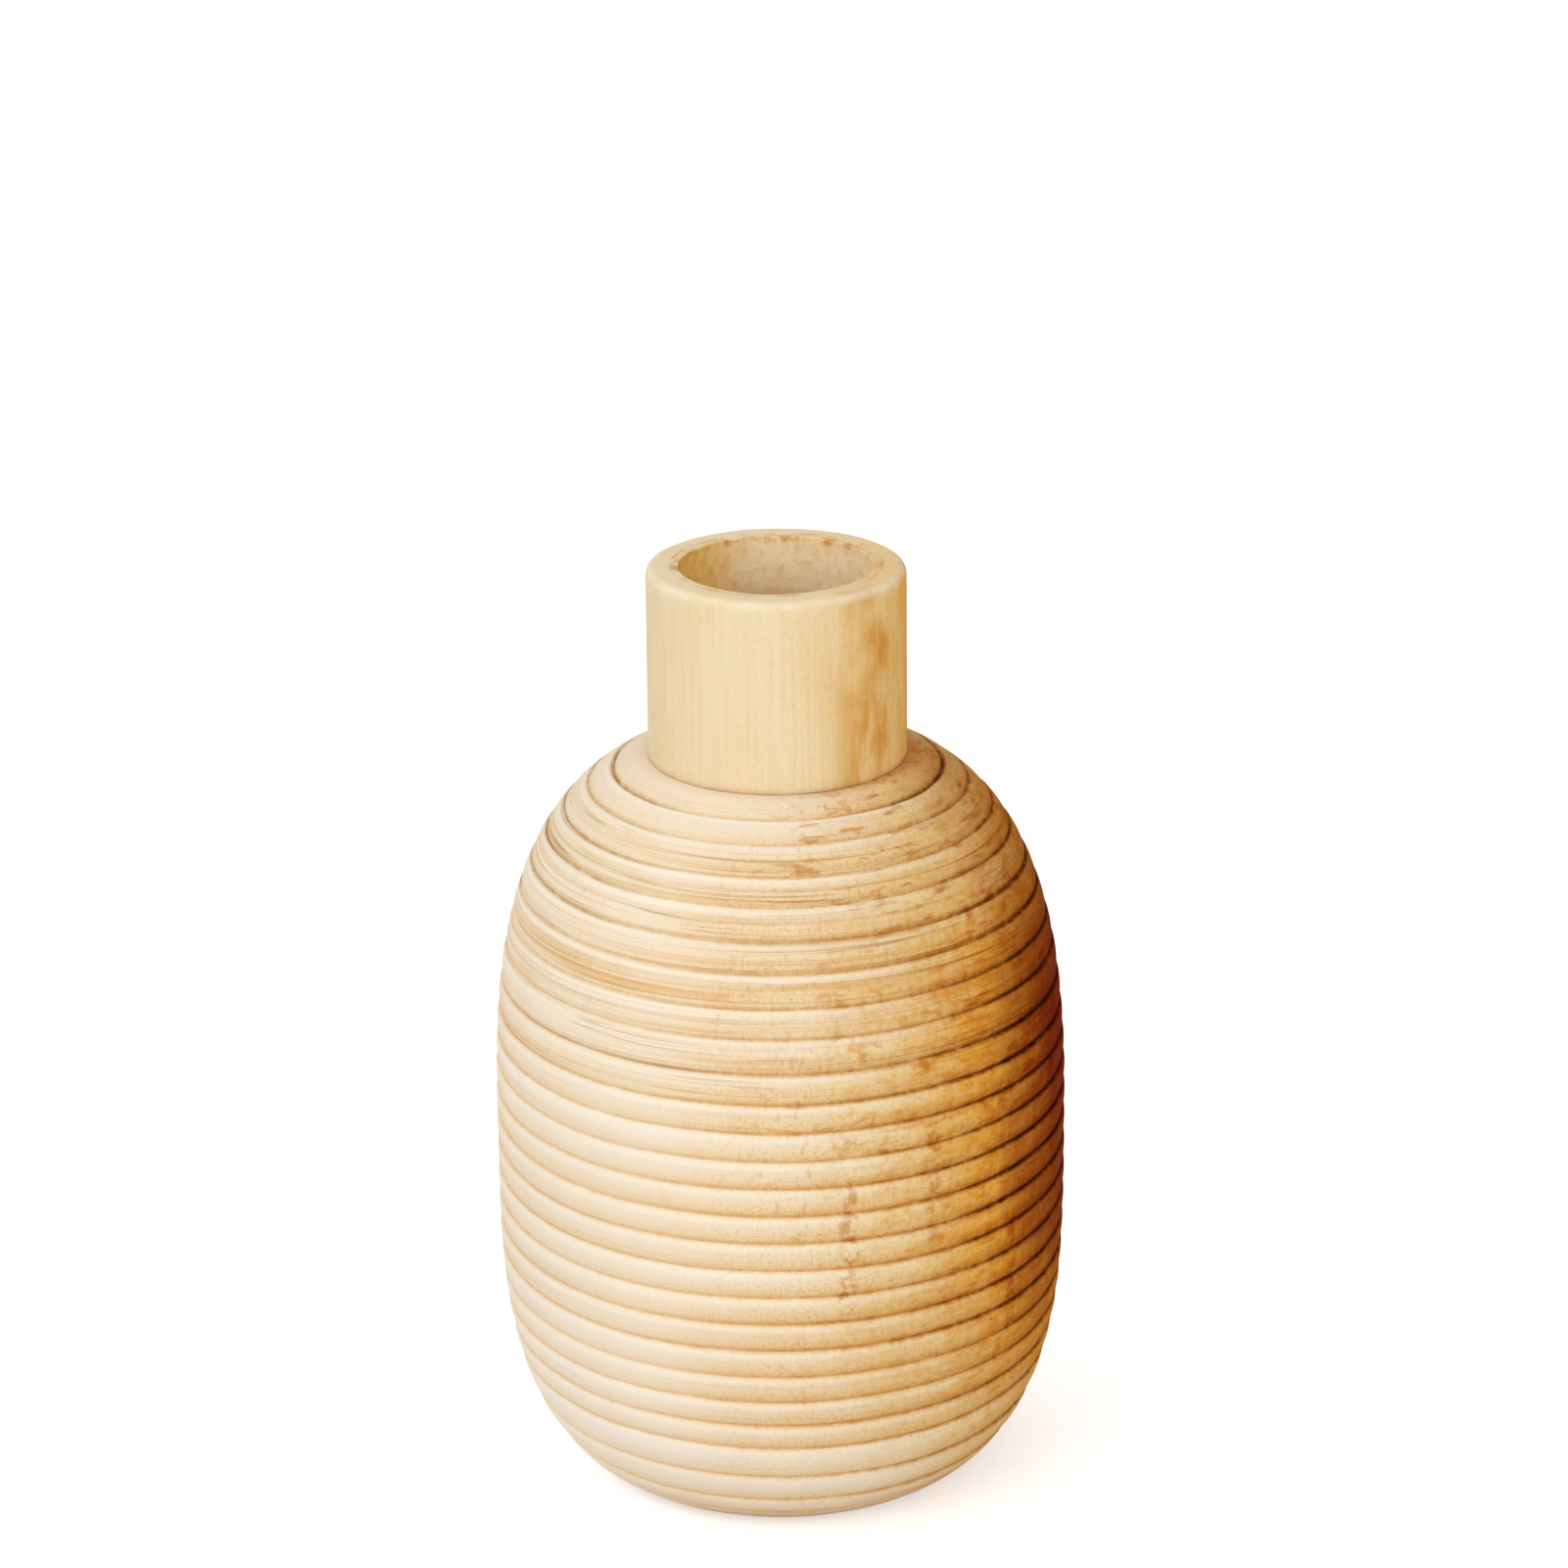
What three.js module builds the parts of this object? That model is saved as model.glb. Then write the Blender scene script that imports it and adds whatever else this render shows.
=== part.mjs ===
// Carved wooden vase. A ribbed barrel body is turned in two halves and glued at a groove,
// a plain neck is tenoned into the shoulder, a turned plug closes the foot, and a glass
// liner for water stands in the plug and lifts out through the neck.
// Millimetres, +Z up, origin on the table under the middle of the foot.
import * as THREE from 'three';

// Neck and bore
const BORE_DIAMETER = 52.8;
const NECK_WALL = 9.2;
const NECK_HEIGHT = 54;
const LIP_ROUNDING = 2.4;
const TENON_WALL = 4.6;
const TENON_LENGTH = 14;

// Body outline: two superellipse quarters that meet at the belly
const LOWER_HEIGHT = 95;
const UPPER_HEIGHT = 113;
const BELLY_DIAMETER = 160;
const FOOT_DIAMETER = 107;
const LEDGE_WIDTH = 3.9;
const LOWER_FULLNESS = 3.3;
const UPPER_FULLNESS = 2.95;

// Turned ribs, measured along the outline from the foot of the neck
const FIRST_RING = 10.8;
const SHOULDER_PITCH = 8.9;
const BELLY_PITCH = 8;
const FOOT_PITCH = 11.5;
const LAST_RING = 14;
const SHOULDER_RIBS_ABOVE_BELLY = 43;
const FOOT_RIBS_BELOW = 36;
const GROOVE_WIDTH = 1.8;
const GROOVE_DEPTH = 1.3;

// Walls and the glued joint of the two halves
const BODY_WALL = 12;
const SHOULDER_THICKNESS = 16;
const BASE_THICKNESS = 16;
const JOINT_ABOVE_BELLY = 15;
const SPIGOT_LENGTH = 8;
const SPIGOT_THICKNESS = 5;

// Foot plug
const PLUG_WALL = 6;
const PLUG_FLANGE_WIDTH = 6;
const PLUG_FLANGE_THICKNESS = 6;
const PLUG_BOSS_HEIGHT = 5;
const PLUG_RECESS_DEPTH = 11;

// Glass liner and its cushion
const LINER_SIDE_CLEARANCE = 1.9;
const LINER_WALL = 2.5;
const LINER_FLOOR = 4;
const LINER_BEVEL = 1;
const LINER_DROP = 24;
const CUSHION_THICKNESS = 4;

// Felt pads under the foot
const FELT_THICKNESS = 1.5;
const PAD_DIAMETER = 12;
const PAD_COUNT = 4;

// Clearances
const GLUE_GAP = 0.2;
const SPIGOT_END_GAP = 0.4;
const SEAT_GAP = 0.5;

// Facets round the axis and along curves
const TURNED_FACETS = 40;
const PAD_FACETS = 20;
const LIP_STEPS = 4;
const FOOT_STEPS = 4;
const WALL_STEPS = 5;
const OUTLINE_DIVISIONS = 2000;

// Sizes that follow from the ones above
const boreRadius = BORE_DIAMETER / 2;
const neckRadius = boreRadius + NECK_WALL;
const tenonRadius = boreRadius + TENON_WALL;
const ledgeRadius = neckRadius + LEDGE_WIDTH;
const bellyRadius = BELLY_DIAMETER / 2;
const footRadius = FOOT_DIAMETER / 2;
const bodyHeight = LOWER_HEIGHT + UPPER_HEIGHT;
const lipHeight = bodyHeight + NECK_HEIGHT;
const linerRadius = boreRadius - LINER_SIDE_CLEARANCE;
const recessRadius = linerRadius + SEAT_GAP;
const plugRadius = recessRadius + PLUG_WALL;
const flangeRadius = plugRadius + PLUG_FLANGE_WIDTH;
const plugTop = BASE_THICKNESS + PLUG_BOSS_HEIGHT;
const recessFloor = plugTop - PLUG_RECESS_DEPTH;
const linerFoot = recessFloor + CUSHION_THICKNESS;
const linerTop = lipHeight - LINER_DROP;

const point = (radius, height) => new THREE.Vector2(radius, height);

// Radius of the smooth body at a height above the underside of the wood: the quarter's
// half height is stretched so that the curve passes through the radius at its end.
function bodyRadius(height) {
  const above = height >= LOWER_HEIGHT;
  const fullness = above ? UPPER_FULLNESS : LOWER_FULLNESS;
  const endRadius = above ? ledgeRadius : footRadius;
  const endDistance = above ? UPPER_HEIGHT : LOWER_HEIGHT;
  const endShare = 1 - (endRadius / bellyRadius) ** fullness;
  const share = (Math.abs(height - LOWER_HEIGHT) / endDistance) ** fullness * endShare;
  return bellyRadius * (1 - share) ** (1 / fullness);
}

const cavityRadius = (height) => bodyRadius(height) - BODY_WALL;

// The visible outline from the foot of the neck, over the ledge and down to the foot.
class BodyOutline extends THREE.Curve {
  getPoint(t) {
    const along = t * (LEDGE_WIDTH + bodyHeight);
    if (along < LEDGE_WIDTH) return point(neckRadius + along, bodyHeight);
    const height = bodyHeight + LEDGE_WIDTH - along;
    return point(bodyRadius(height), height);
  }
}

const outline = new BodyOutline();
outline.arcLengthDivisions = OUTLINE_DIVISIONS;
const outlineLength = outline.getLength();
const onOutline = (distance) => outline.getPointAt(distance / outlineLength);

// Spacing of the ribs: wide on the shoulder, closer down the belly, widest at the foot.
function pitchAt(height) {
  if (height > LOWER_HEIGHT + SHOULDER_RIBS_ABOVE_BELLY) return SHOULDER_PITCH;
  return height > FOOT_RIBS_BELOW ? BELLY_PITCH : FOOT_PITCH;
}

// A groove is a small V cut square to the outline, listed from its lower edge upwards.
function makeGroove(distance) {
  const upper = onOutline(distance - GROOVE_WIDTH / 2);
  const lower = onOutline(distance + GROOVE_WIDTH / 2);
  const downhill = lower.clone().sub(upper).normalize();
  const inward = point(downhill.y, -downhill.x);
  const bottom = onOutline(distance).addScaledVector(inward, GROOVE_DEPTH);
  return { distance, upper, lower, bottom };
}

const grooves = [];
let travelled = FIRST_RING;
while (outlineLength - travelled > LAST_RING) {
  grooves.push(makeGroove(travelled));
  travelled += pitchAt(onOutline(travelled).y);
}
grooves.reverse();

// The halves meet in the groove nearest to the wanted height of the joint.
const jointTarget = LOWER_HEIGHT + JOINT_ABOVE_BELLY;
const jointMisses = grooves.map((groove) => Math.abs(groove.bottom.y - jointTarget));
const jointIndex = jointMisses.indexOf(Math.min(...jointMisses));
const joint = grooves[jointIndex];
const jointHeight = joint.bottom.y;
const jointBore = cavityRadius(jointHeight);
const spigotRadius = jointBore + SPIGOT_THICKNESS;
const socketRadius = spigotRadius + GLUE_GAP;
const socketFloor = jointHeight - SPIGOT_LENGTH - SPIGOT_END_GAP;

const groovePoints = (list) => list.flatMap((groove) => [groove.lower, groove.bottom, groove.upper]);

// The last ring turns under towards the foot, so it has points of its own.
function footRingPoints() {
  const top = grooves[0].distance + GROOVE_WIDTH / 2;
  return Array.from({ length: FOOT_STEPS - 1 }, (_, i) => (
    onOutline(THREE.MathUtils.lerp(outlineLength, top, (i + 1) / FOOT_STEPS))
  ));
}

// Inner wall points between two heights, ends included.
function cavityPoints(from, to) {
  return Array.from({ length: WALL_STEPS + 1 }, (_, i) => {
    const height = THREE.MathUtils.lerp(from, to, i / WALL_STEPS);
    return point(cavityRadius(height), height);
  });
}

// A quarter arc of the lip about a centre, from one angle to another.
function lipArc(centreRadius, startAngle, endAngle) {
  const centreHeight = lipHeight - LIP_ROUNDING;
  return Array.from({ length: LIP_STEPS + 1 }, (_, i) => {
    const angle = THREE.MathUtils.lerp(startAngle, endAngle, i / LIP_STEPS);
    const out = LIP_ROUNDING * Math.cos(angle);
    const up = LIP_ROUNDING * Math.sin(angle);
    return point(centreRadius + out, centreHeight + up);
  });
}

// A profile in (radius, height) turned about +Z: up the outside, down the inside.
function turned(profile, facets = TURNED_FACETS) {
  return new THREE.LatheGeometry(profile, facets).rotateX(Math.PI / 2);
}

const closed = (profile) => [...profile, profile[0].clone()];

function neckGeometry() {
  return turned(closed([
    point(boreRadius, bodyHeight - TENON_LENGTH),
    point(tenonRadius, bodyHeight - TENON_LENGTH),
    point(tenonRadius, bodyHeight),
    point(neckRadius, bodyHeight),
    ...lipArc(neckRadius - LIP_ROUNDING, 0, Math.PI / 2),
    ...lipArc(boreRadius + LIP_ROUNDING, Math.PI / 2, Math.PI),
  ]));
}

function upperBodyGeometry() {
  const roof = bodyHeight - SHOULDER_THICKNESS;
  const mortiseRadius = tenonRadius + GLUE_GAP;
  return turned(closed([
    point(jointBore, jointHeight - SPIGOT_LENGTH),
    point(spigotRadius, jointHeight - SPIGOT_LENGTH),
    point(spigotRadius, jointHeight),
    joint.bottom,
    joint.upper,
    ...groovePoints(grooves.slice(jointIndex + 1)),
    point(ledgeRadius, bodyHeight),
    point(mortiseRadius, bodyHeight),
    point(mortiseRadius, roof),
    ...cavityPoints(roof, jointHeight),
  ]));
}

function lowerBodyGeometry() {
  const flangeHole = flangeRadius + GLUE_GAP;
  const plugHole = plugRadius + GLUE_GAP;
  return turned(closed([
    point(flangeHole, 0),
    point(footRadius, 0),
    ...footRingPoints(),
    ...groovePoints(grooves.slice(0, jointIndex)),
    joint.lower,
    joint.bottom,
    point(socketRadius, jointHeight),
    point(socketRadius, socketFloor),
    ...cavityPoints(socketFloor, BASE_THICKNESS),
    point(plugHole, BASE_THICKNESS),
    point(plugHole, PLUG_FLANGE_THICKNESS),
    point(flangeHole, PLUG_FLANGE_THICKNESS),
  ]));
}

function basePlugGeometry() {
  return turned([
    point(0, 0),
    point(flangeRadius, 0),
    point(flangeRadius, PLUG_FLANGE_THICKNESS),
    point(plugRadius, PLUG_FLANGE_THICKNESS),
    point(plugRadius, plugTop),
    point(recessRadius, plugTop),
    point(recessRadius, recessFloor),
    point(0, recessFloor),
  ]);
}

function cushionGeometry() {
  return turned([
    point(0, recessFloor),
    point(linerRadius, recessFloor),
    point(linerRadius, linerFoot),
    point(0, linerFoot),
  ]);
}

function linerGeometry() {
  const inside = linerRadius - LINER_WALL;
  return turned([
    point(0, linerFoot),
    point(linerRadius - LINER_BEVEL, linerFoot),
    point(linerRadius, linerFoot + LINER_BEVEL),
    point(linerRadius, linerTop - LINER_BEVEL),
    point(linerRadius - LINER_BEVEL, linerTop),
    point(inside, linerTop),
    point(inside, linerFoot + LINER_FLOOR),
    point(0, linerFoot + LINER_FLOOR),
  ]);
}

function padGeometry() {
  const radius = PAD_DIAMETER / 2;
  return turned([
    point(0, -FELT_THICKNESS),
    point(radius, -FELT_THICKNESS),
    point(radius, 0),
    point(0, 0),
  ], PAD_FACETS);
}

const wood = (color) => new THREE.MeshStandardMaterial({ color, roughness: 0.6, metalness: 0 });
const glass = () => new THREE.MeshStandardMaterial({
  color: 0xe4efec, roughness: 0.05, metalness: 0, transparent: true, opacity: 0.35,
});
const soft = (color) => new THREE.MeshStandardMaterial({ color, roughness: 0.95, metalness: 0 });

function addPiece(parent, name, geometry, material) {
  const mesh = new THREE.Mesh(geometry, material);
  mesh.name = name;
  parent.add(mesh);
  return mesh;
}

// The wood stands on the felt, so everything is raised by the felt's thickness.
const vase = new THREE.Group();
vase.position.z = FELT_THICKNESS;
addPiece(vase, 'neck', neckGeometry(), wood(0xe6c792));
addPiece(vase, 'upper_body', upperBodyGeometry(), wood(0xdbb67c));
addPiece(vase, 'lower_body', lowerBodyGeometry(), wood(0xd9b277));
addPiece(vase, 'base_plug', basePlugGeometry(), wood(0xcfa66c));
addPiece(vase, 'liner_cushion', cushionGeometry(), soft(0xb98a58));
addPiece(vase, 'glass_liner', linerGeometry(), glass());

// The pads stand in a ring midway between the plug's flange and the edge of the foot.
const padCircle = (flangeRadius + footRadius) / 2;
for (let i = 0; i < PAD_COUNT; i += 1) {
  const angle = ((i + 0.5) / PAD_COUNT) * 2 * Math.PI;
  const pad = addPiece(vase, `felt_pad_${i + 1}`, padGeometry(), soft(0x6b5a48));
  pad.position.set(padCircle * Math.cos(angle), padCircle * Math.sin(angle), 0);
}

export default vase;
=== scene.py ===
# %% [markdown]
# # A carved wooden vase
#
# This lesson dresses a turned wooden vase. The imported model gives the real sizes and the
# places of all the pieces, and nothing here moves or resizes them. Every piece of the vase
# is a solid of revolution, so nearly all shapes below are one idea used again and again:
# a profile in (radius, height) that is carried round the upright axis.

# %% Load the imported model
import math

import bpy
import numpy as np
from mathutils import Matrix, Vector


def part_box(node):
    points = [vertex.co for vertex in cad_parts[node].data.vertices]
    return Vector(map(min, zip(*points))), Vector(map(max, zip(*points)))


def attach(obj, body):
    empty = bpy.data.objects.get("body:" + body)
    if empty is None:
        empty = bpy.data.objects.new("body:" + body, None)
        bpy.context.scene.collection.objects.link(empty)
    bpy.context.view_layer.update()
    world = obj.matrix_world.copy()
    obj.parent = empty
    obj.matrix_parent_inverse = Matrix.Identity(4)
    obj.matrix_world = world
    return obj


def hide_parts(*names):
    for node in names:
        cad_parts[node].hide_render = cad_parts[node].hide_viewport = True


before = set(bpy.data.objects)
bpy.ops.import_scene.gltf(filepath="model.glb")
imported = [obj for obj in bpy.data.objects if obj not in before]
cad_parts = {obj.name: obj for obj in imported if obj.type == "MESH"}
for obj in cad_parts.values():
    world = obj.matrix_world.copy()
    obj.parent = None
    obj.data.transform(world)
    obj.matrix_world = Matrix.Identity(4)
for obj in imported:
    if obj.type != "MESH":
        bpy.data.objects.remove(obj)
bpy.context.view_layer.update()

print("pieces in the frame:", sorted(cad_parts))

# %% [markdown]
# ## Sizes
# The heights and outer radii come straight from the frame. The few sizes that a box can't
# tell, such as the bore or the width of the ledge round the neck, are written in millimetres
# and turned into metres by MM.

# %% Read the main sizes
MM = 0.001

foot_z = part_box("lower_body")[0].z
joint_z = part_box("lower_body")[1].z
shoulder_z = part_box("upper_body")[1].z
lip_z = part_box("neck")[1].z
tenon_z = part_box("neck")[0].z
spigot_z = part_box("upper_body")[0].z
neck_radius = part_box("neck")[1].x
belly_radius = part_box("lower_body")[1].x
body_height = shoulder_z - foot_z

BORE_RADIUS = 26.4 * MM
LEDGE_WIDTH = 3.9 * MM
FOOT_RADIUS = 53.5 * MM
BELLY_HEIGHT = 95 * MM
LOWER_FULLNESS = 3.3
UPPER_FULLNESS = 2.95
BODY_WALL = 12 * MM
GLUE_GAP = 0.2 * MM
ledge_radius = neck_radius + LEDGE_WIDTH
print(f"vase {lip_z / MM:.1f} mm tall, {2 * belly_radius / MM:.1f} mm across the belly")

# %% [markdown]
# ## Turning a grid into a mesh
# A lathe makes the same cut all round, so a piece with a hole through it is a grid that
# closes on itself in both directions, like a ring. A piece without a hole, such as a disc,
# starts and ends on the axis instead, where all columns share one point. The Screw modifier
# or Spin could make both, but a grid of numbers also takes hand-made unevenness and carries
# extra values for the materials, so the grids are worked out here with numpy.

# %% Mesh helpers
TURNS = 360
SHARP_FROM = math.radians(48)


def angles(columns=TURNS):
    """Equal angles round the axis, in radians, starting on +X and turning towards +Y."""
    return np.arange(columns) * (2 * np.pi / columns)


def place(radius, height, theta):
    """Points (r cos a, r sin a, h) for grids of radius, height and angle of one shape."""
    radius, height, theta = np.broadcast_arrays(radius, height, theta)
    return np.stack([radius * np.cos(theta), radius * np.sin(theta), height], axis=-1)


def ring_faces(rows, columns):
    """Quads of a rows by columns grid that closes on itself both ways."""
    index = np.arange(rows * columns).reshape(rows, columns)
    right = np.roll(index, -1, axis=1)
    below = np.roll(index, -1, axis=0)
    across = np.roll(right, -1, axis=0)
    return np.stack([index, below, across, right], axis=-1).reshape(-1, 4)


def fill_mesh(name, points, quads, triangles, layers):
    """A smooth mesh object from points, four-sided and three-sided faces and point layers."""
    mesh = bpy.data.meshes.new(name)
    starts_of_quads = np.arange(len(quads)) * 4
    starts_of_triangles = len(quads) * 4 + np.arange(len(triangles)) * 3
    mesh.vertices.add(len(points))
    mesh.vertices.foreach_set("co", points.astype(np.float32).ravel())
    mesh.loops.add(len(quads) * 4 + len(triangles) * 3)
    corners = np.concatenate([quads.ravel(), triangles.ravel()]).astype(np.int32)
    mesh.loops.foreach_set("vertex_index", corners)
    mesh.polygons.add(len(quads) + len(triangles))
    starts = np.concatenate([starts_of_quads, starts_of_triangles]).astype(np.int32)
    mesh.polygons.foreach_set("loop_start", starts)
    for layer, values in layers.items():
        attribute = mesh.attributes.new(layer, "FLOAT", "POINT")
        attribute.data.foreach_set("value", values.astype(np.float32).ravel())
    mesh.update(calc_edges=True)
    mesh.validate()
    mesh.polygons.foreach_set("use_smooth", np.ones(len(mesh.polygons), bool))
    mesh.set_sharp_from_angle(angle=SHARP_FROM)
    piece = bpy.data.objects.new(name, mesh)
    bpy.context.scene.collection.objects.link(piece)
    print(f"{name}: {len(points)} points, {2 * len(quads) + len(triangles)} triangles")
    return piece


def ring_piece(name, grid, layers):
    """A piece with a hole through it, from a grid whose profile runs down the outside."""
    rows, columns = grid.shape[:2]
    no_triangles = np.zeros((0, 3), int)
    return fill_mesh(name, grid.reshape(-1, 3), ring_faces(rows, columns), no_triangles, layers)


def disc_piece(name, radius, height, layers, columns=96):
    """A piece closed on the axis: the first and last profile points are its two poles."""
    theta = angles(columns)
    body = place(radius[1:-1, None], height[1:-1, None], theta[None, :])
    rows = len(body)
    poles = np.array([[0, 0, height[0]], [0, 0, height[-1]]])
    points = np.concatenate([body.reshape(-1, 3), poles])
    quads = ring_faces(rows, columns).reshape(rows, columns, 4)[:-1].reshape(-1, 4)
    column = np.arange(columns)
    after = np.roll(column, -1)
    last = (rows - 1) * columns
    pole = np.full(columns, rows * columns)
    first_fan = np.stack([pole, column, after], axis=-1)
    last_fan = np.stack([pole + 1, last + after, last + column], axis=-1)
    triangles = np.concatenate([first_fan, last_fan])
    spread = {}
    for layer, values in layers.items():
        spread[layer] = np.concatenate([np.repeat(values[1:-1], columns), values[[0, -1]]])
    return fill_mesh(name, points, quads, triangles, spread)


def bevelled(corners, bevel):
    """A profile with each inner corner cut at the bevel's distance from it.

    Two more points beside the cut keep the flat faces flat when the normals are smoothed."""
    corners = np.asarray(corners, float)
    back = corners[:-2] - corners[1:-1]
    ahead = corners[2:] - corners[1:-1]
    back /= np.linalg.norm(back, axis=1, keepdims=True)
    ahead /= np.linalg.norm(ahead, axis=1, keepdims=True)
    corner = corners[1:-1]
    cut = np.stack([corner + 2 * bevel * back, corner + bevel * back,
                    corner + bevel * ahead, corner + 2 * bevel * ahead], axis=1)
    return np.concatenate([corners[:1], cut.reshape(-1, 2), corners[-1:]])


def bell(distance, reach):
    """A bell curve: 1 at no distance, falling to exp(-1) at its reach."""
    return np.exp(-((distance / reach) ** 2))


def upright(radius, heights):
    """Profile points at one radius and several heights."""
    return np.stack([np.full_like(heights, radius), heights], axis=-1)


def path_length(radius, height):
    """Distance along a profile from its first point."""
    steps = np.hypot(np.diff(radius, axis=0), np.diff(height, axis=0))
    return np.concatenate([np.zeros_like(steps[:1]), np.cumsum(steps, axis=0)])


# %% [markdown]
# ## The unevenness of handwork
# A hand-held gouge never cuts a perfect circle. A sum of a few sine waves round the axis,
# with seeded random phases, gives a slow wander that joins up with itself after one turn.

# %% Wander
def wander(theta, along, seed, slow=2, fast=9, waves=7):
    """A sum of sines sin(n a + k s + p) with whole n, so it closes round the axis; about -1 to 1."""
    draw = np.random.default_rng(seed)
    total = np.zeros(np.broadcast(theta, along).shape)
    for _ in range(waves):
        n = draw.integers(slow, fast + 1)
        k = draw.uniform(-90, 90)
        phase = draw.uniform(0, 2 * np.pi)
        total += np.sin(n * theta + k * along + phase)
    return total / math.sqrt(waves / 2) / 2


# %% [markdown]
# ## The outline of the body
# The barrel is two superellipse quarters that meet at the belly: the radius at a height is
# R (1 - share)^(1/n), where the share grows with the distance from the belly. A spline drawn
# by eye would do too, but the formula is smooth and has only a handful of sizes. The ribs
# are spaced along this outline, so it is also measured by its own length.

# %% Body outline
OUTLINE_STEP = 0.4 * MM


def body_radius(height):
    """Superellipse radius at a height above the underside, passing through both end radii."""
    above = height >= BELLY_HEIGHT
    fullness = np.where(above, UPPER_FULLNESS, LOWER_FULLNESS)
    end_radius = np.where(above, ledge_radius, FOOT_RADIUS)
    end_distance = np.where(above, body_height - BELLY_HEIGHT, BELLY_HEIGHT)
    end_share = 1 - (end_radius / belly_radius) ** fullness
    share = (np.abs(height - BELLY_HEIGHT) / end_distance) ** fullness * end_share
    return belly_radius * (1 - share) ** (1 / fullness)


sampled_height = np.linspace(body_height, 0, 6000)
outline_height = np.concatenate([[body_height], sampled_height])
outline_radius = np.concatenate([[neck_radius], body_radius(sampled_height)])
outline_length = path_length(outline_radius, outline_height)
whole_length = outline_length[-1]


def on_outline(along):
    """Radius, height and outward direction at a distance along the outline from the neck."""
    radius = np.interp(along, outline_length, outline_radius)
    height = np.interp(along, outline_length, outline_height)
    before, after = along - OUTLINE_STEP, along + OUTLINE_STEP
    rise = np.interp(after, outline_length, outline_height)
    rise = rise - np.interp(before, outline_length, outline_height)
    run = np.interp(after, outline_length, outline_radius)
    run = run - np.interp(before, outline_length, outline_radius)
    size = np.maximum(np.hypot(rise, run), 1e-9)
    return radius, height, -rise / size, run / size


print(f"outline {whole_length / MM:.1f} mm long from neck to foot")

# %% [markdown]
# ## Where the grooves are
# The ribs are wide on the shoulder, closer down the belly and widest where the body turns
# under to the foot. On the shoulder every other rib is a touch wider than its neighbour,
# as a turner's hand leaves it. The two halves of the body are glued in one of the grooves,
# so that the joint doesn't show.

# %% Groove positions
FIRST_RING = 10.8 * MM
SHOULDER_PITCH = 8.9 * MM
BELLY_PITCH = 8 * MM
FOOT_PITCH = 11.5 * MM
LAST_RING = 14 * MM
SHOULDER_RIBS_ABOVE = BELLY_HEIGHT + 43 * MM
FOOT_RIBS_BELOW = 36 * MM
UNEVEN_PITCH = 0.28 * MM


def pitch_at(height):
    """Spacing of the ribs at a height above the underside of the wood."""
    if height > SHOULDER_RIBS_ABOVE:
        return SHOULDER_PITCH
    return BELLY_PITCH if height > FOOT_RIBS_BELOW else FOOT_PITCH


groove_list = [FIRST_RING]
while True:
    step = pitch_at(np.interp(groove_list[-1], outline_length, outline_height))
    if whole_length - groove_list[-1] - step <= LAST_RING:
        break
    groove_list.append(groove_list[-1] + step)
grooves = np.array(groove_list)
groove_height = np.interp(grooves, outline_length, outline_height)
joint_index = int(np.argmin(np.abs(groove_height - (joint_z - foot_z))))
joint_along = grooves[joint_index]
hand = np.where(np.arange(len(grooves)) % 2, -1, 1) * UNEVEN_PITCH
hand *= groove_height > SHOULDER_RIBS_ABOVE
grooves = grooves + hand
print(f"{len(grooves)} grooves, glued joint in number {joint_index + 1} from the neck")

# %% [markdown]
# ## The cut of one rib
# Seen close, each rib has a crisp upper corner that stands proud and catches the light.
# Below it the face falls back a little, and then drops into a narrow groove with a steep
# lower wall. Towards the shoulder the ribs grow flatter. That is a real shape, several tenths
# of a millimetre deep, so it is cut into the mesh and not faked by a bump: the outline of the
# vase shows it. The same function also hands out values for the colours of the wood, such as
# how near a point is to a groove.

# %% Rib relief
CREST = 0.28
CREST_TO_GROOVE = 0.75 * MM
CREST_TO_CORNER = 0.16 * MM
GROOVE_DEPTH = 0.3 * MM
STEEP_WALL = 0.36 * MM
EASY_WALL = 0.9 * MM
FIRST_GROOVE_EXTRA = 0.7 * MM
FIRST_GROOVE_REACH = 2 * MM
SWAY = 0.2 * MM
NO_SWAY_NEAR_JOINT = 5 * MM
FACE_WAVE = 0.1 * MM
NIBBLE = 0.5 * MM
NIBBLE_REACH = 0.9 * MM
SHOULDER_FLATNESS = 0.45
SHOULDER_FADE = 25 * MM
LAST_RIB_DEPTH = 0.45
OUT_OF_REACH = 1.0
UPPER_LINE = 0.4 * MM
LOWER_LINE = 0.95 * MM
SHINE_AT = 1.3 * MM
SHINE_REACH = 0.9 * MM


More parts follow.
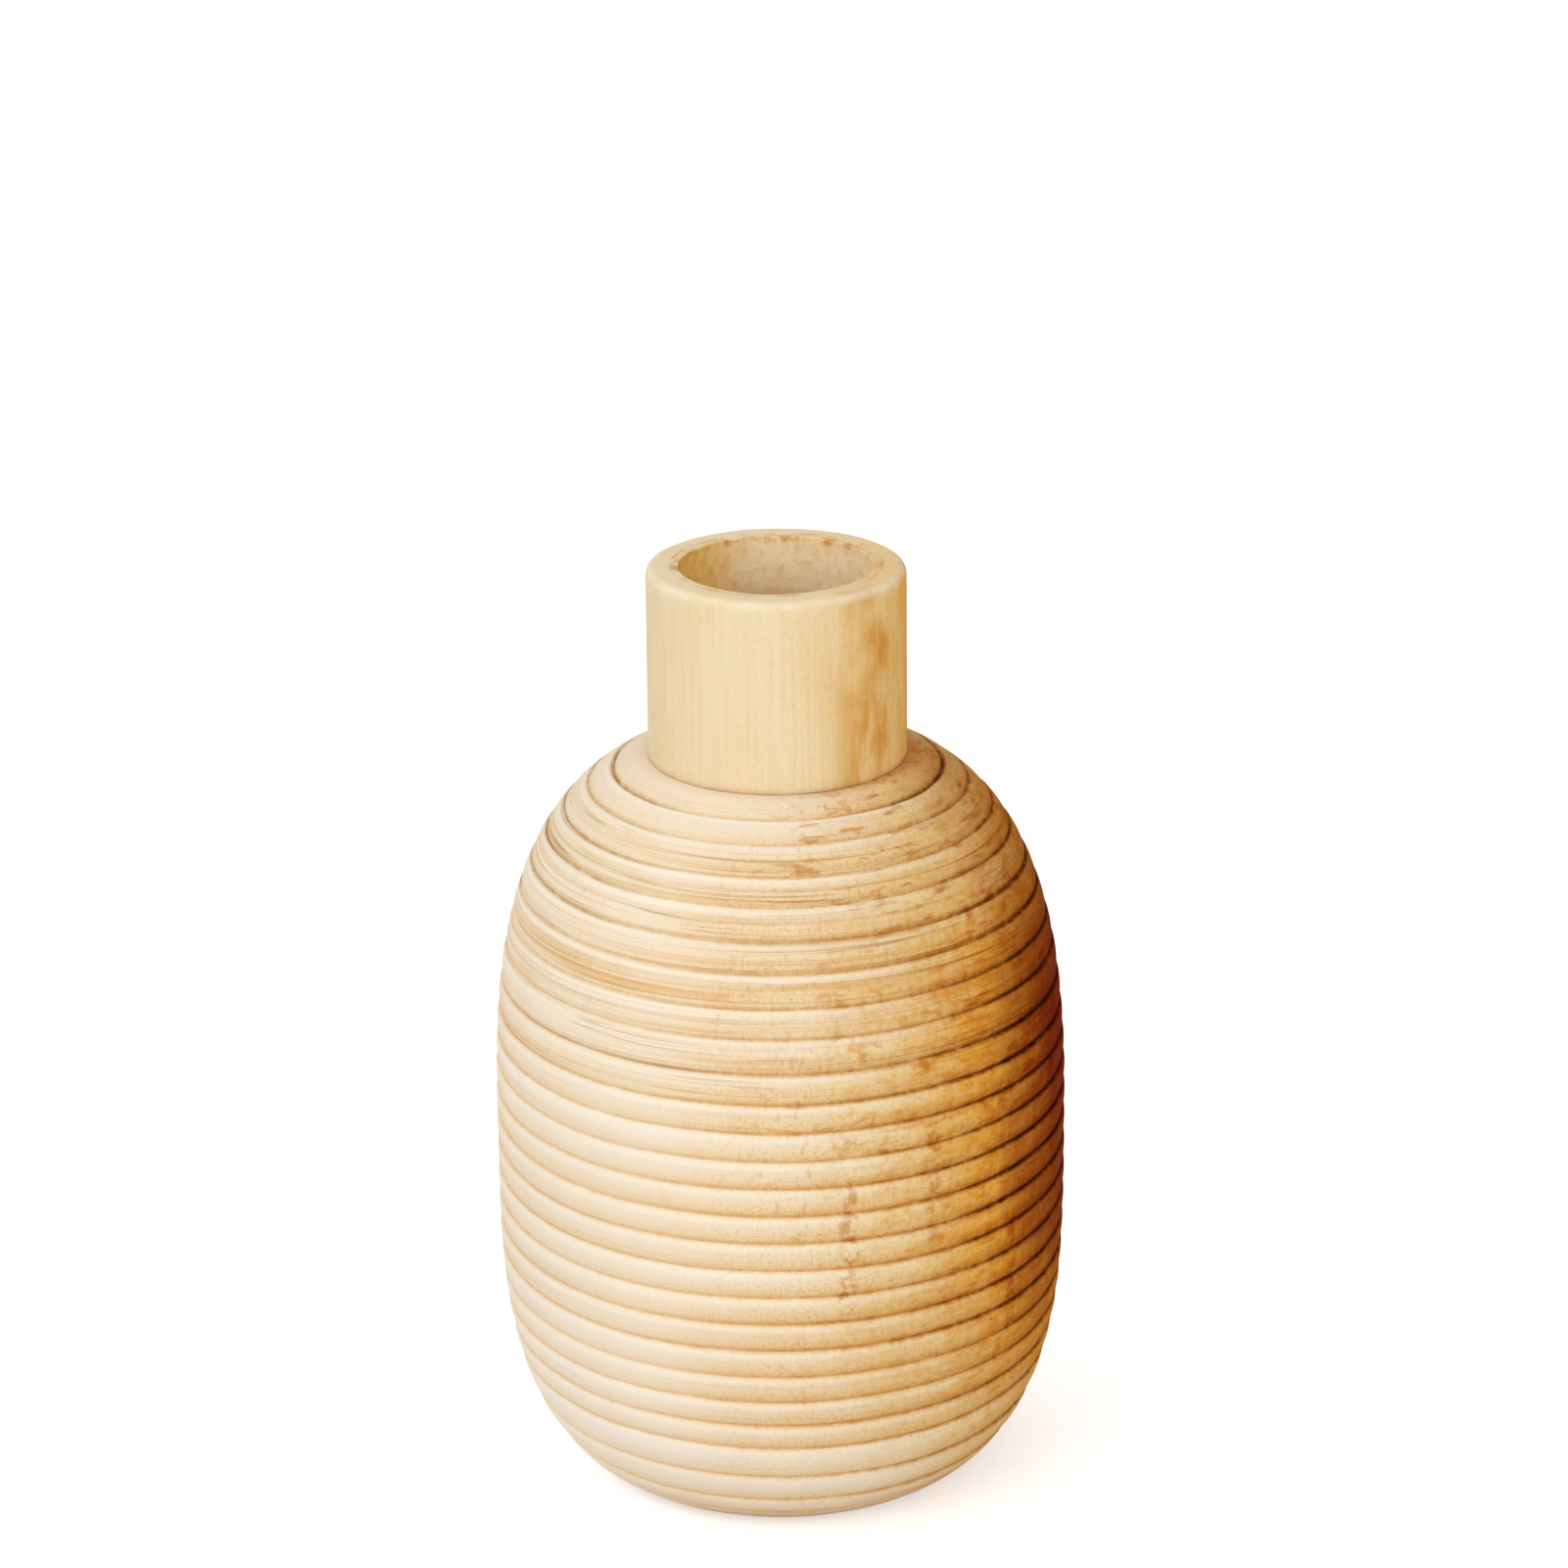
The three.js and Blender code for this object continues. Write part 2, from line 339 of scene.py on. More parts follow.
def rib_relief(along, theta):
    """Depth of the cut below the smooth outline, and the layers that the wood's colours use.

    Along a rib the depth is a parabola on each side of the crest, shallow towards the upper
    corner and deeper towards the lower edge. Two bell curves add the grooves at its ends,
    and a clipped wander nibbles at the upper corner."""
    near_joint = bell(along - joint_along, NO_SWAY_NEAR_JOINT)
    swayed = along + SWAY * wander(theta, along, 11) * (1 - near_joint)
    stops = np.concatenate([[0], grooves, [whole_length]])
    index = np.clip(np.searchsorted(grooves, swayed), 0, len(grooves))
    under = np.maximum(swayed - stops[index], 0)
    over = np.maximum(stops[index + 1] - swayed, 0)
    share = under / np.maximum(under + over, 1e-6)
    falling = np.clip((share - CREST) / (1 - CREST), 0, 1)
    rising = np.clip((CREST - share) / CREST, 0, 1)
    last = np.where(index == len(grooves), LAST_RIB_DEPTH, 1.0)
    bulge = 1 + 0.2 * wander(theta, along, 41, 1, 5)
    height = np.interp(along, outline_length, outline_height)
    shoulder = np.clip((height - SHOULDER_RIBS_ABOVE) / SHOULDER_FADE, 0, 1)
    bulge = bulge * (1 - SHOULDER_FLATNESS * shoulder)
    depth = last * bulge * (CREST_TO_GROOVE * falling**2 + CREST_TO_CORNER * rising**2)
    under_groove = np.where(index == 0, OUT_OF_REACH, under)
    over_groove = np.where(index == len(grooves), OUT_OF_REACH, over)
    cut = GROOVE_DEPTH * (1 + 0.3 * wander(theta, along, 23, 2, 14))
    cut = cut + FIRST_GROOVE_EXTRA * bell(along - grooves[0], FIRST_GROOVE_REACH)
    force = np.random.default_rng(19).uniform(0.45, 1.25, len(stops))
    above, below = force[index], force[index + 1]
    steep = above * bell(under_groove, STEEP_WALL)
    easy = below * bell(over_groove, EASY_WALL)
    depth = depth + cut * np.maximum(steep, easy)
    depth = depth + FACE_WAVE * (0.5 + 0.5 * wander(theta, 2.5 * along, 37, 3, 16))
    bite = np.clip(wander(theta, 5 * along, 53, 20, 60, 11) - 0.4, 0, 1)
    depth = depth + NIBBLE * bite * np.exp(-under_groove / NIBBLE_REACH)
    upper_line = above * bell(under_groove, UPPER_LINE)
    lower_line = below * bell(over_groove, LOWER_LINE)
    line = np.clip(np.maximum(upper_line, lower_line), 0, 1)
    # The corner layer places the worn edge and painted highlight on each rib's upper corner.
    shine = bell(under_groove - SHINE_AT, SHINE_REACH)
    tones = np.random.default_rng(5).uniform(-1, 1, len(grooves) + 1)
    return depth, {"groove": line, "corner": shine, "fall": falling, "tone": tones[index]}


def rib_rows(start, end):
    """Distances along the outline with close rows beside each groove and wider ones between."""
    edge = np.array([0, 0.12, 0.25, 0.4, 0.6, 0.9, 1.35, 2.0]) * MM
    stops = np.concatenate([[start], grooves[(grooves > start) & (grooves < end)], [end]])
    rows = []
    for top, bottom in zip(stops[:-1], stops[1:]):
        middle = np.linspace(top + edge[-1], bottom - edge[-1], 6)[1:-1]
        rows.append(np.concatenate([top + edge, middle, bottom - edge[::-1]]))
    return np.unique(np.round(np.concatenate(rows), 7))


# %% [markdown]
# ## The two halves of the body
# The upper half carries a spigot that fits a socket in the lower half, a roof under the
# shoulder and a mortise for the neck. The lower half has a thick floor with a stepped hole
# for the plug. The outside rows get the rib relief, and the inside rows stay plain.

# %% Body halves
SHOULDER_THICKNESS = 16 * MM
BASE_THICKNESS = 16 * MM
SPIGOT_THICKNESS = 5 * MM
SPIGOT_END_GAP = 0.4 * MM
TENON_RADIUS = BORE_RADIUS + 4.6 * MM
PLUG_FLANGE_THICKNESS = 6 * MM
flange_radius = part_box("base_plug")[1].x
plug_radius = flange_radius - 6 * MM
joint_bore = float(body_radius(np.array(joint_z - foot_z))) - BODY_WALL
spigot_radius = joint_bore + SPIGOT_THICKNESS


def cavity(low, high, steps=9):
    """Inner wall points between two heights: the outline's radius less the wall."""
    height = np.linspace(low, high, steps)
    return np.stack([body_radius(height) - BODY_WALL, foot_z + height], axis=-1)


def body_half(name, along, inside):
    """A half of the body: ribbed rows down the outside, then the plain inside profile."""
    theta = angles()[None, :]
    radius, height, out_r, out_z = (a[:, None] for a in on_outline(along))
    depth, marks = rib_relief(along[:, None] + 0 * theta, theta)
    outside = place(radius - depth * out_r, foot_z + height - depth * out_z, theta)
    inside = np.asarray(inside)
    plain = place(inside[:, 0, None], inside[:, 1, None], theta)
    grid = np.concatenate([outside, plain])
    none = np.zeros((len(inside), TURNS))
    layers = {layer: np.concatenate([values, none]) for layer, values in marks.items()}
    turned = along[-1] + path_length(inside[:, 0], inside[:, 1])
    layers["along"] = np.concatenate([along[:, None] + 0 * theta, turned[:, None] + none])
    piece = ring_piece(name, grid, layers)
    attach(piece, "vase")
    return piece


roof = body_height - SHOULDER_THICKNESS
mortise_radius = TENON_RADIUS + GLUE_GAP
upper_inside = np.concatenate([
    [[spigot_radius, joint_z], [spigot_radius, spigot_z], [joint_bore, spigot_z]],
    cavity(joint_z - foot_z, roof),
    [[mortise_radius, foot_z + roof], [mortise_radius, shoulder_z]],
])
upper_body = body_half("shoulder_half", rib_rows(0, joint_along), upper_inside)
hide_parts("upper_body")

socket_radius = spigot_radius + GLUE_GAP
socket_floor = spigot_z - foot_z - SPIGOT_END_GAP
flange_hole = flange_radius + GLUE_GAP
plug_hole = plug_radius + GLUE_GAP
lower_inside = np.concatenate([
    [[FOOT_RADIUS - 3 * MM, foot_z], [flange_hole + 0.5 * MM, foot_z]],
    [[flange_hole, foot_z + 0.5 * MM], [flange_hole, foot_z + PLUG_FLANGE_THICKNESS]],
    [[plug_hole, foot_z + PLUG_FLANGE_THICKNESS], [plug_hole, foot_z + BASE_THICKNESS]],
    cavity(BASE_THICKNESS, socket_floor),
    [[socket_radius, foot_z + socket_floor], [socket_radius, joint_z]],
])
lower_body = body_half("foot_half", rib_rows(joint_along, whole_length), lower_inside)
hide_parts("lower_body")

# %% [markdown]
# ## The neck
# The neck is a plain turned tube with a softly rounded lip. Its wall is a little uneven, and
# the inner edge of the lip is chipped where it was worn and cracked, mostly at the back. The
# chips are dents along that edge: each is a bell curve round the axis, deepest on the edge.

# %% Neck
LIP_ROUND = 2.6 * MM
MOUTH_ROUND = 0.45 * MM
NECK_FOOT_BEVEL = 0.25 * MM
NECK_WAVE = 0.1 * MM
BORE_WAVE = 0.06 * MM
LIP_WAVE = 0.16 * MM
CALM_ENDS = 6 * MM
CHIP_COUNT = 15
CHIP_SEED = 4


def quarter(centre_radius, centre_height, size, start, end, steps=9):
    """Points of a quarter circle about a centre, from one angle to another."""
    turn = np.linspace(start, end, steps)
    radius, height = centre_radius + size * np.cos(turn), centre_height + size * np.sin(turn)
    return np.stack([radius, height], axis=-1)


def chips(theta):
    """Depth of the lip's chips round the axis: bell curves at seeded places, more at the back."""
    draw = np.random.default_rng(CHIP_SEED)
    total = np.zeros_like(theta)
    for _ in range(CHIP_COUNT):
        place_on_lip = np.radians(draw.normal(72, 48))
        reach = draw.uniform(0.02, 0.2)
        size = draw.uniform(0.15, 1.0) * MM
        apart = np.angle(np.exp(1j * (theta - place_on_lip)))
        total = np.maximum(total, size * bell(apart, reach))
    return total


def neck_piece():
    """The neck's closed profile down the outside, under the tenon and up the bore to the lip."""
    lip_edge, mouth_edge = neck_radius - LIP_ROUND, BORE_RADIUS + MOUTH_ROUND
    flat = np.linspace(mouth_edge, lip_edge, 26)[1:-1]
    profile = np.concatenate([
        quarter(lip_edge, lip_z - LIP_ROUND, LIP_ROUND, np.pi / 2, 0),
        upright(neck_radius, np.linspace(lip_z - LIP_ROUND, shoulder_z + NECK_FOOT_BEVEL, 34)[1:]),
        [[neck_radius - NECK_FOOT_BEVEL, shoulder_z]],
        [[TENON_RADIUS, shoulder_z], [TENON_RADIUS, tenon_z]],
        upright(BORE_RADIUS, np.linspace(tenon_z, lip_z - MOUTH_ROUND, 40)[:-1]),
        quarter(mouth_edge, lip_z - MOUTH_ROUND, MOUTH_ROUND, np.pi, np.pi / 2, 13),
        np.stack([flat, np.full_like(flat, lip_z)], axis=-1),
    ])
    theta = angles()[None, :]
    none = 0 * theta
    plain_radius, plain_height = profile[:, :1], profile[:, 1:]
    radius, height = plain_radius + none, plain_height + none
    shown = np.clip((height - shoulder_z) / CALM_ENDS, 0, 1)
    high = np.clip((height - (lip_z - CALM_ENDS)) / CALM_ENDS, 0, 1)
    is_bore = radius < BORE_RADIUS + 2 * MM
    unevenness = NECK_WAVE * wander(theta, height, 3, 2, 7) * shown
    from_edge = np.hypot(radius - BORE_RADIUS - 0.5 * MM, height - lip_z + 0.5 * MM)
    wear = bell(from_edge, 1.5 * MM) * chips(theta)
    bore_wave = BORE_WAVE * wander(theta, height, 9, 5, 24) * is_bore * shown
    lip_wave = LIP_WAVE * wander(theta, radius, 29, 1, 6) * high
    radius = radius + unevenness + bore_wave + 0.25 * wear
    height = height + lip_wave - LIP_WAVE * high - 0.6 * wear
    grid = place(radius, height, theta)
    rim = np.hypot(plain_radius - neck_radius + 0.8 * MM, plain_height - lip_z + 0.8 * MM)
    crease = BORE_RADIUS + 2.4 * MM + 0.5 * MM * wander(theta, none, 71, 1, 9)
    layers = {
        "groove": np.exp(-np.abs(height - shoulder_z) / (0.8 * MM)) * ~is_bore,
        "corner": bell(rim, 1.6 * MM) + none,
        "along": path_length(profile[:, 0], profile[:, 1])[:, None] + none,
        "wear": wear / MM,
        "mouth": bell(from_edge, 2.4 * MM),
        "edge": bell(from_edge, 0.6 * MM),
        "crease": bell(plain_radius - crease, 0.35 * MM) * (plain_height > lip_z - 1 * MM),
        "bore": np.clip((BORE_RADIUS + 0.3 * MM - plain_radius) / (0.3 * MM), 0, 1) + none,
    }
    piece = ring_piece("neck_tube", grid, layers)
    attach(piece, "vase")
    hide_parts("neck")
    return piece


neck = neck_piece()

# %% [markdown]
# ## Plug, cushion, liner and pads
# These pieces are simple turned or cut discs and a glass tube. They are still made anew, with
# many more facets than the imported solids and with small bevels, so that light runs along
# their edges.

# %% Small turned pieces
def turned_disc(name, node, body, corners, bevel, columns=128):
    """A disc or cup from profile corners on the axis, bevelled, riding on a body."""
    profile = bevelled(corners, bevel)
    along = path_length(profile[:, 0], profile[:, 1])
    piece = disc_piece(name, profile[:, 0], profile[:, 1], {"along": along}, columns)
    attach(piece, body)
    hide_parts(node)
    return piece


RECESS_DEPTH = 11 * MM
RECESS_RADIUS = plug_radius - 6 * MM
plug_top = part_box("base_plug")[1].z
recess_z = plug_top - RECESS_DEPTH
base_plug = turned_disc("foot_plug", "base_plug", "vase", [
    [0, recess_z], [RECESS_RADIUS, recess_z], [RECESS_RADIUS, plug_top], [plug_radius, plug_top],
    [plug_radius, foot_z + PLUG_FLANGE_THICKNESS], [flange_radius, foot_z + PLUG_FLANGE_THICKNESS],
    [flange_radius, foot_z], [0, foot_z],
], 0.5 * MM)

cork_low, cork_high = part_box("liner_cushion")
cushion = turned_disc("cork_cushion", "liner_cushion", "vase", [
    [0, cork_high.z], [cork_high.x, cork_high.z], [cork_high.x, cork_low.z], [0, cork_low.z],
], 0.6 * MM)

LINER_WALL = 2.5 * MM
LINER_FLOOR = 4 * MM
LINER_INNER_FOOT = 4 * MM
LINER_OUTER_FOOT = 3 * MM
liner_low, liner_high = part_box("glass_liner")
liner_bore = liner_high.x - LINER_WALL
glass_floor = liner_low.z + LINER_FLOOR


def liner_profile():
    """The glass tube from its inner floor up the inside, over a round rim and down the outside.

    Both walls have many rows, because normals smoothed over one long face would bend the light."""
    half = LINER_WALL / 2
    inner, outer = LINER_INNER_FOOT, LINER_OUTER_FOOT
    rim = quarter(liner_high.x - half, liner_high.z - half, half, np.pi, 0, 13)
    inner_foot = quarter(liner_bore - inner, glass_floor + inner, inner, -np.pi / 2, 0, 7)
    outer_foot = quarter(liner_high.x - outer, liner_low.z + outer, outer, 0, -np.pi / 2, 7)
    up = np.linspace(glass_floor + inner, liner_high.z - half, 60)[1:-1]
    inner_wall, outer_wall = upright(liner_bore, up), upright(liner_high.x, up[::-1])
    inside = np.concatenate([[[0, glass_floor]], inner_foot, inner_wall])
    return np.concatenate([inside, rim, outer_wall, outer_foot, [[0, liner_low.z]]])


glass_shape = liner_profile()
liner = disc_piece("glass_tube", glass_shape[:, 0], glass_shape[:, 1], {}, 128)
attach(liner, "liner")
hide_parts("glass_liner")

# %% Felt pads
PAD_FRAY = 0.12 * MM
PAD_ROUND = 0.4 * MM
PAD_COLUMNS = 72


def felt_pad(number):
    """A punched felt disc with a slightly frayed, bulging edge, over its own solid."""
    node = f"felt_pad_{number}"
    low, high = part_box(node)
    centre = np.array([(low.x + high.x) / 2, (low.y + high.y) / 2, 0])
    size = (high.x - low.x) / 2
    upper = quarter(size - 0.5 * MM, high.z - PAD_ROUND, PAD_ROUND, np.pi / 2, 0, 5)
    lower = quarter(size - 0.5 * MM, low.z + PAD_ROUND, PAD_ROUND, 0, -np.pi / 2, 5)
    middle = size / 2
    profile = np.concatenate([
        [[0, high.z], [middle, high.z]], upper, lower, [[middle, low.z], [0, low.z]]])
    piece = disc_piece(node + "_felt", profile[:, 0], profile[:, 1], {}, PAD_COLUMNS)
    points = np.empty(len(piece.data.vertices) * 3, np.float32)
    piece.data.vertices.foreach_get("co", points)
    points = points.reshape(-1, 3)
    turn = np.arctan2(points[:, 1], points[:, 0])
    fray = 1 - PAD_FRAY / size * (0.5 + 0.5 * wander(turn, 0 * turn, 60 + number, 5, 30))
    points[:, :2] *= fray[:, None]
    piece.data.vertices.foreach_set("co", (points + centre).astype(np.float32).ravel())
    piece.data.update()
    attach(piece, "vase")
    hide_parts(node)
    return piece


pads = [felt_pad(number) for number in (1, 2, 3, 4)]

# %% [markdown]
# ## A short way to write finishes
# A material is a tree of nodes. Written out link by link it is hard to read, so this small
# class adds a node, fills its sockets from values or other nodes, and hands back the socket
# that the next step needs. The sky further down is a tree of nodes too, so what both of them
# use is in the class Nodes, and Finish adds what only a material has.

# %% Node helpers
class Nodes:
    """A tree of shader nodes under construction, with one short call for each kind of node."""

    def __init__(self, tree, coordinates):
        self.tree = tree
        self.where = self.node("TexCoord").outputs[coordinates]
        self.x, self.y, self.z = self.node("SeparateXYZ", Vector=self.where).outputs

    def put(self, socket, value):
        """Link a socket to another, or set its constant value."""
        if isinstance(value, bpy.types.NodeSocket):
            self.tree.links.new(value, socket)
        else:
            socket.default_value = value

    def fill(self, node, **sockets):
        """Fill the named sockets of a node."""
        for name, value in sockets.items():
            self.put(node.inputs[name.replace("_", " ")], value)
        return node

    def node(self, kind, **sockets):
        """Add a shader node of a kind and fill its named sockets."""
        return self.fill(self.tree.nodes.new("ShaderNode" + kind), **sockets)

    def math(self, operation, first, second=0.0, clamp=False):
        """One Math node."""
        made = self.node("Math")
        made.operation = operation
        made.use_clamp = clamp
        self.put(made.inputs[0], first)
        self.put(made.inputs[1], second)
        return made.outputs[0]

    def times(self, value, *others):
        """The product of all the values, one Math node after another."""
        for other in others:
            value = self.math("MULTIPLY", value, other)
        return value

    def largest(self, value, *others):
        """The largest of all the values."""
        for other in others:
            value = self.math("MAXIMUM", value, other)
        return value

    def pushed(self, value, noise, amount):
        """A value moved about by a noise: value + (noise - 0.5) amount."""
        return self.math("ADD", value, self.times(self.math("SUBTRACT", noise, 0.5), amount))

    def spread(self, value, low, high, to_low=0.0, to_high=1.0, curve="SMOOTHSTEP"):
        """Map a range of values onto another, smoothly or on a straight line, held at both ends."""
        made = self.node("MapRange", Value=value, From_Min=low, From_Max=high,
                         To_Min=to_low, To_Max=to_high)
        made.interpolation_type = curve
        return made.outputs[0]

    def from_axis(self):
        """Distance from the upright axis: the root of x x + y y."""
        square = self.math("ADD", self.times(self.x, self.x), self.times(self.y, self.y))
        return self.math("SQRT", square)

    def layer(self, name):
        """A value stored on the piece's points."""
        made = self.node("Attribute")
        made.attribute_name = name
        return made.outputs["Fac"]

    def noise(self, scale, detail=2.0, rough=0.5, up=None, at=None):
        """Noise of about 0 to 1 at a scale in features for each metre.

        A small value of up draws it out along the fibres, and at is another place to read it."""
        where = self.where if at is None else at
        if up is not None:
            where = self.node("Mapping", Vector=where, Scale=(1, 1, up)).outputs[0]
        made = self.node("TexNoise", Vector=where, Scale=scale, Detail=detail, Roughness=rough)
        return made.outputs["Fac"]

    def ramp(self, value, stops):
        """A colour ramp from (place, colour) stops."""
        made = self.node("ValToRGB", Fac=value)
        elements = made.color_ramp.elements
        while len(elements) < len(stops):
            elements.new(0.5)
        for element, (place_on_ramp, colour) in zip(elements, stops):
            element.position = place_on_ramp
            element.color = (*colour, 1)
        return made.outputs["Color"]

    def mix(self, share, first, second, blend="MIX"):
        """Mix two colours, each a socket or an (r, g, b)."""
        made = self.node("Mix", Factor=share)
        made.data_type = "RGBA"
        made.blend_type = blend
        sockets = [socket for socket in made.inputs if socket.type == "RGBA"]
        for socket, colour in zip(sockets, (first, second)):
            self.put(socket, (*colour, 1) if isinstance(colour, tuple) else colour)
        return next(socket for socket in made.outputs if socket.type == "RGBA")

    def seen(self):
        """1 for light that reaches the camera straight, through glass or off gloss, else 0."""
        path = self.node("LightPath").outputs
        return self.largest(*(path[f"Is {kind} Ray"] for kind in ("Camera", "Transmission", "Glossy")))

    def either(self, share, first, second):
        """The first shader and, by a share, the second."""
        made = self.node("MixShader", Fac=share)
        self.put(made.inputs[1], first)
        self.put(made.inputs[2], second)
        return made.outputs["Shader"]


class Finish(Nodes):
    """A material under construction, with the colour that its steps have reached so far."""

    def __init__(self, name):
        self.material = bpy.data.materials.new(name)
        self.material.use_nodes = True
        super().__init__(self.material.node_tree, "Object")
        self.shader = self.tree.nodes["Principled BSDF"]
        self.colour = None

    def cover(self, share, colour):
        """Mix another colour over the present one, by a share."""
        self.colour = self.mix(share, self.colour, colour)

    def stain(self, share, tint):
        """Multiply a tint into the colour, by a share."""
        self.colour = self.mix(share, self.colour, tint, "MULTIPLY")

    def tinge(self, value, low, high, amount, tint):
        """Stain where a value rises from low to high, up to an amount."""
        self.stain(self.times(self.spread(value, low, high), amount), tint)

    def bump(self, height, size):
        """A bump of a real size in metres, joined to the shader's normal."""
        made = self.node("Bump", Height=height, Strength=1.0, Distance=size)
        self.put(self.shader.inputs["Normal"], made.outputs["Normal"])

    def give(self, *pieces):
        """Join the colour to the shader and put the finished material on pieces."""
        self.fill(self.shader, Base_Color=self.colour)
        for piece in pieces:
            piece.data.materials.clear()
            piece.data.materials.append(self.material)
        print(self.material.name, "on", [piece.name for piece in pieces])


# %% [markdown]
# ## The wood
# The log stood upright in the lathe, so its fibres run up the vase. On the sides they show as
# fine upright streaks and short pore marks, and on flat ends as dots. Slow turning marks run
# the other way, round the vase. The wood is creamy, with honey-coloured heartwood on one side
# that deepens to a red brown. Dust and oil darken the grooves, and painted shade darkens them
# further on the far side, along with the lower face of each rib, the far side of the belly and
# the lower bore; painted light brightens the lit side, the rib corners and the lip. Each of these
# is one short step below. A scanned picture of wood could be wrapped round the vase instead, but
# its grain would stretch and end at a seam, while noise in space runs on through the solid.

# %% Wood colours
CREAM = (0.90, 0.77, 0.58)
TAN = (0.85, 0.63, 0.30)
HONEY = (0.81, 0.41, 0.065)
RUSSET = (0.57, 0.17, 0.015)


# %% Patterns in the wood
def side_share(wood):
    """The sine of the angle from the front: x over the distance from the axis, -1 to 1."""
    return wood.math("DIVIDE", wood.x, wood.largest(wood.from_axis(), 1e-4))


def heartwood(wood, side, strength, streaks):
    """How far the heartwood has coloured the wood: it grows towards +X.

    The side share is pushed about by slow noise along the fibres, by streaks of middle size
    and by a fine mottling. Its power of 1.4 makes the cream wood give way slowly at first."""
    slow = wood.noise(38, 3, 0.6, up=0.35)
    fine = wood.noise(520, 3, 0.6)
    grain = wood.noise(420, 3, 0.6, up=0.05)
    for drift, amount in ((slow, 0.34), (streaks, 0.44), (fine, 0.28), (grain, 0.2)):
        side = wood.pushed(side, drift, amount)
    share = wood.math("POWER", wood.largest(side, 0.0), 1.4)
    share = wood.times(share, wood.spread(wood.y, 0.0, 0.05, 1, 0.6))
    return wood.math("MULTIPLY", share, strength, clamp=True)


def far_side_shade(wood, side):
    """Painted shade: a smooth darkening at the far end of the side, round the belly, weaker at the
    back and towards the foot and shoulder.
    """
    side = wood.pushed(side, wood.noise(45, 2, 0.5, up=0.3), 0.2)
    behind = wood.spread(wood.y, 0.0, 0.04, 1, 0.25)
    rising = wood.spread(wood.z, 0.035, 0.095, 0.1, 1)
    fading = wood.spread(wood.z, 0.15, 0.205, 1, 0.3)
    return wood.times(wood.spread(side, 0.70, 1.0), behind, rising, fading)


def belly_strength(wood):
    """The heartwood's strength by height: full at the upper belly, less at the foot and shoulder."""
    rising = wood.spread(wood.z, 0.0, 0.1, 0.36, 1.07)
    return wood.times(rising, wood.spread(wood.z, 0.138, 0.205, 1.0, 0.46))


def shoulder_turning(wood):
    """Turning marks by height: left rough on the shoulder, nearly scraped away elsewhere."""
    rising = wood.spread(wood.z, 0.118, 0.165, 0.15, 0.95)
    return wood.times(rising, wood.spread(wood.z, 0.194, 0.204, 1, 0.12))


def wound(wood, around, along, detail, rough):
    """Noise that runs round the vase: slow in x and y, fast along the outline."""
    turned = wood.node("CombineXYZ", X=wood.times(wood.x, around), Y=wood.times(wood.y, around),
                       Z=wood.times(wood.layer("along"), along))
    return wood.noise(1, detail, rough, at=turned.outputs[0])


def ring_streaks(wood):
    """Streaks that run round the body with the ribs."""
    return wound(wood, 80, 260, 3, 0.6)


def upright_streaks(wood):
    """Streaks that run up the neck with the fibres."""
    return wood.noise(150, 3, 0.6, up=0.5)


def contour(wood, value, width):
    """Thin lines where a noise passes through its middle value."""
    apart = wood.math("ABSOLUTE", wood.math("SUBTRACT", value, 0.5))
    return wood.spread(apart, 0.0, width, 1, 0)


# %% [markdown]
# The base of the finish is shared: cream turning to heartwood, blotches, fibres and a fine
# speckle. The ribbed body and the plain neck then add their own marks to it.

# %% Shared wood base
BLOTCH = (0.97, 0.88, 0.72)
FIBRE = (0.88, 0.75, 0.54)
SPECKLE = (0.87, 0.74, 0.52)
WOOD_GLOSS = 0.02


def wood_base(name, cream, strength, streaks, fibres, speckles):
    """Cream wood that turns to heartwood towards +X, with blotches, fibres and speckle."""
    wood = Finish(name)
    side = side_share(wood)
    heart = heartwood(wood, side, strength(wood), streaks(wood))
    wood.colour = wood.ramp(heart, [(0, cream), (0.3, TAN), (0.58, HONEY), (0.95, RUSSET)])
    blotch = wood.noise(55, 4, 0.55, up=0.5)
    wood.tinge(blotch, 0.45, 0.75, 0.5, BLOTCH)
    fibre = wood.noise(760, 3, 0.6, up=0.03)
    wood.tinge(fibre, 0.42, 0.75, fibres, FIBRE)
    speckle = wood.noise(800, 3, 0.7)
    grainy = wood.spread(wood.pushed(side, blotch, 0.3), -0.38, -0.2, 0.15, speckles)
    wood.tinge(speckle, 0.48, 0.68, grainy, SPECKLE)
    matt = wood.spread(blotch, 0.2, 0.8, 0.5, 0.64)
    matt = wood.math("ADD", matt, wood.spread(heart, 0.2, 0.6, 0, 0.36))
    wood.fill(wood.shader, Roughness=matt, Specular_IOR_Level=WOOD_GLOSS)
    return wood, side, heart, fibre


# %% [markdown]
# The body's marks come in the order in which they came to the real wood, and painted light
# and shade go in among them. First are the areas of the log: painted shade down the far right
# of the belly, mottled heartwood, painted light that makes the lit left side, the foot and the
# collar paler, and a front that is a little browner above and below the belly. Each is a soft
# mask by height and side.

# %% Areas of the log, painted light and shade
PAINTED_LIGHT = (0.92, 0.83, 0.72)
PAINTED_SHADE_BROWN = (0.40, 0.16, 0.06)
MOTTLE = (0.84, 0.60, 0.36)
UPPER_FRONT = (0.93, 0.82, 0.66)
LOWER_FRONT = (0.94, 0.83, 0.68)
LOWER_FRONT_AT = 60 * MM


